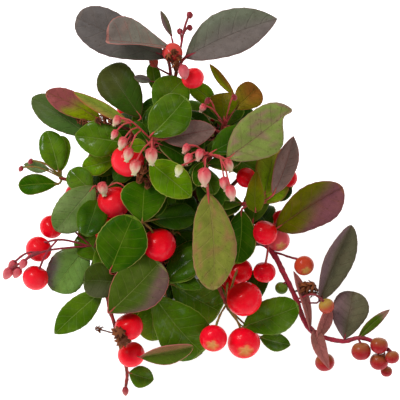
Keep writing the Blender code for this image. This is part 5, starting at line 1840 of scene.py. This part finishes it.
@dataclass
class Fruits:
    """The berries with the sepals on their stalk ends, the blossom and the dried husks."""

    seed: int = 5
    berry_sides: int = 24
    berry_rings: int = 16
    dimple: float = 0.22
    cheek: float = 0.1
    dimple_tone: float = 0.7
    dark_star: Colour = srgb(96, 20, 14)
    pale_star: Colour = srgb(204, 168, 80)
    tip_turn: float = 1.4
    viewer: Vector = field(default_factory=lambda: Axes.facing(FACE_BEARING, FACE_RISE).out)
    star_points: int = 5
    star_inset: float = 0.45
    star_waist: float = 0.36
    star_thickness: float = 0.16
    star_lift: float = 0.25
    star_ragged: tuple[float, float] = (0.8, 1.15)
    star_on_berry: float = 0.97
    star_on_bud: float = 0.42
    star_on_flower: float = 0.52
    star_bow: float = 1.15
    husk_dark: Colour = srgb(84, 34, 14)
    husk_pale: Colour = srgb(150, 84, 44)
    husk_scales: tuple[float, ...] = (0.48, 0.5, 0.46, 0.4, 0.34)
    husk_step: float = 0.15
    husk_lean: float = 0.27
    husk_bow: float = 0.9
    plump: float = 0.7
    flower_sides: int = 20
    rib: float = 0.07
    lobe: float = 0.035
    urn_profile: Profile = (
        (0.0, 0.0), (0.34, 0.02), (0.7, 0.1), (0.94, 0.24), (1.0, 0.38), (0.95, 0.54), (0.78, 0.7),
        (0.54, 0.83), (0.4, 0.9), (0.42, 0.96), (0.54, 1.0), (0.42, 0.985), (0.3, 0.9), (0.26, 0.7),
        (0.0, 0.66))
    bud_profile: Profile = (
        (0.0, 0.0), (0.5, 0.04), (0.9, 0.2), (1.0, 0.42), (0.8, 0.68), (0.45, 0.88), (0.0, 1.0))

    def build(self, growth: Growth) -> None:
        """Make every berry, sepal, flower and husk.

        Args:
            growth: the grown plant.
        """
        berries, sepals, blossom = pieces = [
            Piece(name, [finish.material()], "foliage")
            for name, finish in (("berries", BerryFinish()), ("sepals", SEPAL), ("blossom", PETAL))]
        for piece in pieces:
            piece.shell.verts.layers.float_color.new("body")
        dice = random.Random(self.seed)
        for place in chain.from_iterable(growth.fruits.values()):
            fruit = place.fruit
            if isinstance(fruit, Berry):
                self.berry(berries.shell, place)
                colour, reach = fruit.calyx.value
                radius = fruit.size / 2
                self.star(sepals.shell, place, colour, radius * reach, radius * self.star_on_berry, dice)
            elif isinstance(fruit, Husk):
                self.husk(sepals.shell, place, dice)
            else:
                self.flower(blossom.shell, place)
                share = self.star_on_bud if fruit.bloom.closed else self.star_on_flower
                reach = fruit.size * self.plump * share
                self.star(sepals.shell, place, fruit.bloom.value[0], reach, reach * self.star_bow, dice)
        for piece in pieces:
            piece.finish()

    @staticmethod
    def hung(origin: Vector, hang: Vector) -> Matrix:
        """Return the matrix that hangs a shape, made upright, at an origin."""
        return Matrix.Translation(origin) @ (-hang).to_track_quat("Z", "Y").to_matrix().to_4x4()

    def berry(self, shell: Shell, place: FruitPlace) -> None:
        """Shape a berry: a flattened globe with a starred dimple on its hanging end.

        Args:
            shell: the bmesh that the berry joins.
            place: where the berry has grown.
        """
        radius, hang = place.fruit.size / 2, place.hang
        verts = bmesh.ops.create_uvsphere(shell, u_segments=self.berry_sides, v_segments=self.berry_rings,
                                          radius=radius)["verts"]
        lit, stalk_side = place.fruit.ripeness.value
        dark = blend(lit, self.pale_star if place.fruit.shows_tip else self.dark_star, self.dimple_tone)
        body = shell.verts.layers.float_color["body"]
        for vert in verts:
            height = vert.co.z / radius
            lobe = 0.5 + 0.5 * math.cos(self.star_points * math.atan2(vert.co.y, vert.co.x))
            hollow = soft_step(-0.8 - 0.1 * lobe, -1.0, height)
            cheek = soft_step(0.72, 1.0, height)
            vert.co.z *= BERRY_FLATNESS
            vert.co.z += radius * (self.dimple * hollow - self.cheek * cheek)
            colour = blend(blend(lit, stalk_side, soft_step(-0.1, 0.9, height)), dark, hollow)
            vert[body] = (*colour, 1.0)
        if place.fruit.shows_tip:
            hang = (self.viewer * self.tip_turn + hang).normalized()
        bmesh.ops.transform(shell, matrix=self.hung(place.centre, hang), verts=verts)

    def star(self, shell: Shell, place: FruitPlace, colour: Colour, reach: float,
             bow: float, dice: random.Random) -> None:
        """Shape the sepals as a thin five-pointed star, bowed over what they sit on.

        Args:
            shell: the bmesh that the star joins.
            place: where the fruit or flower has grown.
            colour: the sepals' colour.
            reach: how far the points reach.
            bow: the radius of the globe that the star lies on.
            dice: the seeded numbers that make sepals differ.
        """
        points = self.star_points * 4
        rim = bmesh.ops.create_circle(shell, segments=points, radius=reach, cap_ends=True)["verts"]
        top = list(faces_at(rim))
        inner = bmesh.ops.inset_region(shell, faces=top, thickness=reach * self.star_inset,
                                       use_even_offset=True)
        centre = bmesh.ops.poke(shell, faces=top)["verts"]
        skin = list(faces_at([*rim, *centre]) | set(inner["faces"]))
        walls = bmesh.ops.solidify(shell, geom=skin, thickness=self.star_thickness)["geom"]
        verts = list({vert for face in skin for vert in face.verts} | corners_of(walls))
        body = shell.verts.layers.float_color["body"]
        ragged = [dice.uniform(*self.star_ragged) for _ in range(self.star_points)]
        for vert in verts:
            turn = math.atan2(vert.co.y, vert.co.x) % math.tau
            lobe = abs(math.cos(self.star_points * turn / 2))
            distance = math.hypot(vert.co.x, vert.co.y) / reach
            length = ragged[round(turn / math.tau * self.star_points) % self.star_points]
            pull = 1 - distance * (1 - (self.star_waist + (1 - self.star_waist) * lobe ** 1.6) * length)
            vert.co.x *= pull
            vert.co.y *= pull
            spread = min(math.hypot(vert.co.x, vert.co.y) / bow, 0.98)
            vert.co.z += bow * (math.sqrt(1 - spread * spread) - 1) * 0.9 + self.star_lift
            vert[body] = (*(value * (0.8 + 0.35 * distance) for value in colour), 1.0)
        bmesh.ops.transform(shell, matrix=self.hung(place.top, place.hang), verts=verts)

    def husk(self, shell: Shell, place: FruitPlace, dice: random.Random) -> None:
        """Shape a dried husk: stars of brown scales that stand open one inside another.

        Args:
            shell: the bmesh that the husk joins.
            place: where the husk hangs.
            dice: the seeded numbers that make its scales differ.
        """
        size = place.fruit.size
        for layer, share in enumerate(self.husk_scales):
            lean = Vector([dice.uniform(-1, 1) for _ in range(3)]) * self.husk_lean
            outward = (lean - place.hang).normalized()
            cup = replace(place, hang=outward, top=place.top + place.hang * (size * self.husk_step * layer))
            colour = blend(self.husk_dark, self.husk_pale, dice.random())
            self.star(shell, cup, colour, size * share, size * share * self.husk_bow, dice)

    def flower(self, shell: Shell, place: FruitPlace) -> None:
        """Shape a flower: a bud, or an urn that narrows to a mouth with five small lobes.

        Args:
            shell: the bmesh that the flower joins.
            place: where the flower has grown.
        """
        size, bud = place.fruit.size, place.fruit.bloom.closed
        wide = size * self.plump / 2
        profile = self.bud_profile if bud else self.urn_profile
        urn = turned_shell([(radius * wide, -height * size) for radius, height in profile], self.flower_sides)
        bmesh.ops.recalc_face_normals(urn, faces=urn.faces)
        body = urn.verts.layers.float_color.new("body")
        first, middle, mouth = place.fruit.bloom.value
        for vert in urn.verts:
            share = -vert.co.z / size
            ridge = math.cos(self.star_points * math.atan2(vert.co.y, vert.co.x))
            colour = blend(first, middle, soft_step(0.12, 0.5, share + 0.12 * ridge))
            vert[body] = (*blend(colour, mouth, soft_step(0.45, 0.85, share + 0.12 * ridge)), 1.0)
            swell = 1 + self.rib * ridge * math.sin(math.pi * min(max(share, 0.0), 1.0))
            vert.co.x *= swell
            vert.co.y *= swell
            if share > 0.95 and not bud:
                vert.co.z += size * self.lobe * ridge
        bmesh.ops.transform(urn, matrix=self.hung(place.top, place.hang), verts=urn.verts)
        step = as_mesh("urn", urn)
        urn.free()
        shell.from_mesh(step)
        bpy.data.meshes.remove(step)


@dataclass
class Wood:
    """The stems, twigs, leaf stalks and fruit stalks, drawn as round lines of changing width."""

    growth: Growth
    relief: float = 0.16
    relief_grain: float = 0.9
    rings: float = 0.9
    least_rings: int = 12
    flare_length: float = 1.6
    node_step: float = 6.5
    node_length: float = 0.7
    node_swell: float = 0.16
    bud: float = 0.35
    trailing_girth: float = 1.3
    long_leaf: float = 40.0
    long_leaf_girth: float = 1.6
    petiole_radii: tuple[float, ...] = (0.5, 0.46, 0.44, 0.42, 0.34, 0.14)
    petiole_reach: float = 0.12
    petiole_sink: float = 0.35
    petiole_bend: tuple[float, float] = (0.4, 0.2)
    stalk_steps: int = 10
    stalk_girths: tuple[float, float] = (1.15, 0.85)
    stalk_widths: tuple[float, float, float] = (0.85, 0.02, 1.4)
    fork_share: float = 0.82
    fork_bend: float = 0.55
    fork_arch: float = 0.25
    bevel_resolution: int = 2
    lines: list[tuple[WoodTone, list[Vector], list[float]]] = field(default_factory=list)

    def build(self) -> None:
        """Make the bark piece of the stems and the piece of all finer stalks."""
        for shoot in SHOOTS:
            stem, twig = self.growth.stems[shoot.name], self.growth.twigs[shoot.name]
            self.limb(shoot, [*stem, *twig[1:]])
            tone = STALK_TONES.get(shoot.name, WoodTone.RED_STALK)
            for place in self.growth.leaves[shoot.name]:
                self.petiole(place, tone)
            main = []
            for place in self.growth.fruits[shoot.name]:
                dry = isinstance(place.fruit, Husk)
                main = self.stalk(place, WoodTone.BARK if dry else tone, main)
        stems = [f"{shoot.name}_stem" for shoot in SHOOTS]
        self.draw("stems", (WoodTone.BARK, WoodTone.RED_TWIG, WoodTone.CRIMSON), stems)
        self.draw("stalks", (WoodTone.RED_STALK, WoodTone.DARK_STALK, WoodTone.GREEN_STALK), [])

    def limb(self, shoot: Shoot, points: list[Vector]) -> None:
        """Draw a stem and its twig as one tapering line that flares at the peat and ends in a bud.

        Args:
            shoot: the shoot.
            points: the line of its stem and twig.
        """
        path = smooth_path(points, max(self.least_rings, round(path_length(points) / self.rings)))
        length = path_length(path)
        whole = length - shoot.twig
        radii = []
        for index in range(len(path)):
            walked = length * index / (len(path) - 1)
            if walked < whole:
                radius = STEM_FOOT_RADIUS + (STEM_TIP_RADIUS - STEM_FOOT_RADIUS) * walked / whole
                radius *= 1 + (STEM_FLARE - 1) * math.exp(-walked / self.flare_length)
            else:
                radius = STEM_TIP_RADIUS + (TWIG_TIP_RADIUS - STEM_TIP_RADIUS) * (walked - whole) / shoot.twig
            node = math.exp(-((walked % self.node_step - self.node_step / 2) / self.node_length) ** 2)
            radii.append(radius * (1 + self.node_swell * node))
        radii[-1] *= self.bud
        twig = WoodTone.RED_TWIG
        if shoot.name == "trailing":
            radii = [radius * self.trailing_girth for radius in radii]
            twig = WoodTone.CRIMSON
        split = round(len(path) * max(whole / length, 0.05))
        self.lines.append((WoodTone.BARK, path[:split + 1], radii[:split + 1]))
        self.lines.append((twig, path[split:], radii[split:]))

    def petiole(self, place: LeafPlace, tone: WoodTone) -> None:
        """Draw a leaf's stalk from its twig into the foot of its midrib.

        Args:
            place: where the leaf has grown.
            tone: the stalk's skin.
        """
        into = place.base + place.along * (place.leaf.length * self.petiole_reach)
        into -= place.normal * self.petiole_sink
        back, down = self.petiole_bend
        bend = place.base - place.along * back - place.normal * down
        path = smooth_path((place.root, bend, into), len(self.petiole_radii) - 1)
        girth = self.long_leaf_girth if place.leaf.length > self.long_leaf else 1.0
        self.lines.append((tone, path, [radius * girth for radius in self.petiole_radii]))

    def stalk(self, place: FruitPlace, tone: WoodTone, main: list[Vector]) -> list[Vector]:
        """Draw a fruit's arched stalk, a little thicker where the fruit sits.

        Args:
            place: where the fruit has grown.
            tone: the stalk's skin.
            main: the line of the last stalk that grew from the twig itself.

        Returns:
            The main stalk that the next fruit may join.
        """
        foot, bend = place.root, place.bend
        if place.fruit.joined and main:
            gaps = [(point - place.top).length for point in main]
            fork = round(gaps.index(min(gaps)) * self.fork_share)
            foot = main[max(fork - 1, 1)]
            bend = foot.lerp(place.top, self.fork_bend) + UPWARD * self.fork_arch * (place.top - foot).length
        path = smooth_path((foot, bend, place.top + place.hang * STALK_END_SINK), self.stalk_steps)
        stout = isinstance(place.fruit, Berry) or tone is WoodTone.DARK_STALK
        wide = self.stalk_girths[0] if stout else self.stalk_girths[1]
        foot_width, step, head = self.stalk_widths
        radii = [STALK_RADIUS * wide * (foot_width + step * index) for index in range(self.stalk_steps)]
        self.lines.append((tone, path, [*radii, STALK_RADIUS * wide * head]))
        return main if place.fruit.joined else path

    def draw(self, name: str, tones: tuple[WoodTone, ...], nodes: list[str]) -> None:
        """Turn the lines of some tones into one mesh with a little relief.

        Args:
            name: the piece's name.
            tones: the tones that the piece gathers.
            nodes: the CAD nodes that it stands for.
        """
        curve = bpy.data.curves.new(name, "CURVE")
        curve.dimensions = "3D"
        curve.bevel_depth = 1.0
        curve.bevel_resolution = self.bevel_resolution
        curve.use_fill_caps = True
        materials = [tone.value.material() for tone in tones]
        for material in materials:
            curve.materials.append(material)
        for tone, path, radii in self.lines:
            if tone in tones:
                spline = curve.splines.new("POLY")
                spline.points.add(len(path) - 1)
                for point, place, radius in zip(spline.points, path, radii):
                    point.co = (*place, 1.0)
                    point.radius = radius
                spline.material_index = tones.index(tone)
        guide = bpy.data.objects.new(name, curve)
        mesh = bpy.data.meshes.new_from_object(guide)
        piece = Piece(name, materials, "stem_bark")
        piece.shell.from_mesh(mesh)
        bpy.data.objects.remove(guide)
        bpy.data.curves.remove(curve)
        bpy.data.meshes.remove(mesh)
        bmesh.ops.recalc_face_normals(piece.shell, faces=piece.shell.faces)
        piece.shell.normal_update()
        for vert in piece.shell.verts:
            bark = noise.fractal(vert.co * self.relief_grain, 0.8, 2.0, 3)
            vert.co += vert.normal * (self.relief * bark)
        piece.finish(*nodes)


@dataclass
class Pot:
    """The nursery pot, turned finer than its solid, with its drain holes."""

    sides: int = 96
    bead: float = 0.35
    bead_steps: int = 3
    bead_angle: float = 20.0
    sharp_angle: float = 35.0
    drain_sides: int = 24

    def build(self) -> None:
        """Make the pot."""
        shell = turned_shell(pot_profile(), self.sides)
        bmesh.ops.recalc_face_normals(shell, faces=shell.faces)
        rings = [edge for edge in shell.edges if edge.calc_face_angle(0.0) > math.radians(self.bead_angle)]
        bmesh.ops.bevel(shell, geom=rings, offset=self.bead, segments=self.bead_steps, affect="EDGES",
                        profile=0.5, material=-1)
        self.drill(shell)
        thing = Piece("nursery_pot", [PotFinish().material()], "pot_plastic", shell).finish("pot")
        thing.data.set_sharp_from_angle(angle=math.radians(self.sharp_angle))

    def drill(self, shell: Shell) -> None:
        """Cut the drain holes through the pot's floor.

        Args:
            shell: the pot's bmesh.
        """
        drills = bmesh.new()
        for index in range(DRAIN_COUNT):
            middle = level(math.tau * (index + 0.5) / DRAIN_COUNT) * DRAIN_RING
            bmesh.ops.create_cone(drills, cap_ends=True, segments=self.drain_sides, radius1=DRAIN_RADIUS,
                                  radius2=DRAIN_RADIUS, depth=POT_FLOOR * 4,
                                  matrix=Matrix.Translation(middle))
        pot = in_scene("pot_guide", as_mesh("pot_guide", shell))
        tool = in_scene("drain_guide", as_mesh("drain_guide", drills))
        drills.free()
        holes = pot.modifiers.new("holes", "BOOLEAN")
        holes.operation = "DIFFERENCE"
        holes.solver = "EXACT"
        holes.object = tool
        bpy.context.view_layer.update()
        cut_pot = bpy.data.meshes.new_from_object(pot.evaluated_get(bpy.context.evaluated_depsgraph_get()))
        shell.clear()
        shell.from_mesh(cut_pot)
        bpy.data.meshes.remove(cut_pot)
        for thing in (pot, tool):
            bpy.data.objects.remove(thing)


@dataclass
class Peat:
    """The peat in the pot, with a crumbly top and loose bits on it."""

    seed: int = 11
    sides: int = 72
    rings: int = 22
    ring_crowding: float = 1.2
    crumble: float = 0.9
    crumble_grain: float = 0.45
    crumble_sink: float = 0.2
    bits: int = 420
    bit_size: tuple[float, float] = (0.35, 1.25)
    bit_depth: tuple[float, float] = (0.4, 0.9)
    bit_height: tuple[float, float] = (0.3, 0.7)
    bit_rise: float = 0.2
    bit_reach: float = 0.94
    skirt: float = 12.0
    skirt_inset: float = 2.0

    def build(self) -> None:
        """Make the peat and its bits."""
        radius = wall_radius(PEAT_TOP) - POT_WALL - GAP
        foot = [(0, PEAT_TOP - self.skirt), (radius - self.skirt_inset, PEAT_TOP - self.skirt)]
        top = [(radius * (1 - (index / self.rings) ** self.ring_crowding),
                PEAT_TOP - PEAT_EDGE_DROP * (index == 0)) for index in range(self.rings + 1)]
        shell = turned_shell(foot + top, self.sides)
        bmesh.ops.recalc_face_normals(shell, faces=shell.faces)
        for vert in shell.verts:
            if vert.co.z > PEAT_TOP - PEAT_EDGE_DROP / 2:
                crumb = noise.fractal(vert.co * self.crumble_grain, 0.7, 2.0, 4)
                vert.co.z += self.crumble * (crumb - self.crumble_sink)
        dice = random.Random(self.seed)
        for _ in range(self.bits):
            turn, distance = dice.uniform(0, math.tau), radius * self.bit_reach * math.sqrt(dice.random())
            place = Matrix.Translation((distance * math.cos(turn), distance * math.sin(turn),
                                        PEAT_TOP + self.bit_rise))
            spin = Matrix.Rotation(dice.uniform(0, math.tau), 4, dice.choice("XYZ"))
            size = dice.uniform(*self.bit_size)
            shape = Matrix.Diagonal((size, size * dice.uniform(*self.bit_depth),
                                     size * dice.uniform(*self.bit_height), 1.0))
            bmesh.ops.create_icosphere(shell, subdivisions=1, radius=1.0, matrix=place @ spin @ shape)
        Piece("peat_top", [PeatFinish().material()], "peat", shell).finish("peat")


@dataclass
class Studio:
    """The pale floor, the soft lights and the camera."""

    floor_size: float = 4.0
    distance: float = 3.0
    sensor: float = 36.0
    picture_width: float = 0.400 / 2.4
    middle: Point = (16.67, 6.25, 35.0)
    sky: float = 0.32
    lamps: tuple[tuple[str, Point, float, float], ...] = (
        ("key", (-0.56, 0.16, 1.1), 0.45, 9.0), ("fill", (0.7, -0.85, 0.75), 0.9, 2.6),
        ("back", (0.3, 0.9, 0.7), 0.8, 1.6))

    def build(self, crown: Axes) -> None:
        """Set the studio up round the plant.

        Args:
            crown: the axes of the crown's face.
        """
        self.camera(crown)
        self.floor()
        self.world()
        for name, place, size, power in self.lamps:
            self.lamp(name, Vector(place), size, power)
        bpy.context.scene.view_settings.view_transform = "Standard"

    def camera(self, crown: Axes) -> None:
        """Place a long lens in front of the crown's face.

        Args:
            crown: the axes of the crown's face.
        """
        data = bpy.data.cameras.new("camera")
        data.sensor_width = self.sensor
        data.lens = self.sensor * self.distance / self.picture_width
        camera = in_scene("camera", data)
        middle = (RIM_CENTRE + crown.place(*self.middle)) * METRES
        camera.location = middle + crown.out * self.distance
        camera.rotation_euler = crown.out.to_track_quat("Z", "Y").to_euler()
        bpy.context.scene.camera = camera

    def floor(self) -> None:
        """Lay the floor."""
        shell = bmesh.new()
        bmesh.ops.create_grid(shell, x_segments=8, y_segments=8, size=self.floor_size)
        mesh = as_mesh("floor", shell)
        shell.free()
        mesh.materials.append(FloorFinish().material())
        in_scene("floor", mesh)

    def world(self) -> None:
        """Light everything softly from all round."""
        world = bpy.data.worlds.new("studio")
        world.use_nodes = True
        backdrop = world.node_tree.nodes["Background"]
        backdrop.inputs["Color"].default_value = (1.0, 1.0, 1.0, 1.0)
        backdrop.inputs["Strength"].default_value = self.sky
        bpy.context.scene.world = world

    @staticmethod
    def lamp(name: str, place: Vector, size: float, power: float) -> None:
        """Hang a square soft light that faces the crown.

        Args:
            name: the light's name.
            place: where it hangs, in metres.
            size: the length of its sides, in metres.
            power: its strength, in watts.
        """
        data = bpy.data.lights.new(name, "AREA")
        data.size = size
        data.energy = power
        lamp = in_scene(name, data)
        lamp.location = place
        lamp.rotation_euler = (place - RIM_CENTRE * METRES).to_track_quat("Z", "Y").to_euler()


def main() -> None:
    """Grow the plant, dress it and set the studio up."""
    logging.basicConfig(level=logging.INFO, format="%(message)s")
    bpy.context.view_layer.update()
    growth = Growth()
    growth.grow()
    log.info("grown: %d leaves, %d fruits", sum(map(len, growth.leaves.values())),
             sum(map(len, growth.fruits.values())))
    Foliage().build(growth)
    Fruits().build(growth)
    Wood(growth).build()
    Pot().build()
    Peat().build()
    Studio().build(growth.crown)
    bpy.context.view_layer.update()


if __name__ == "__main__":
    main()
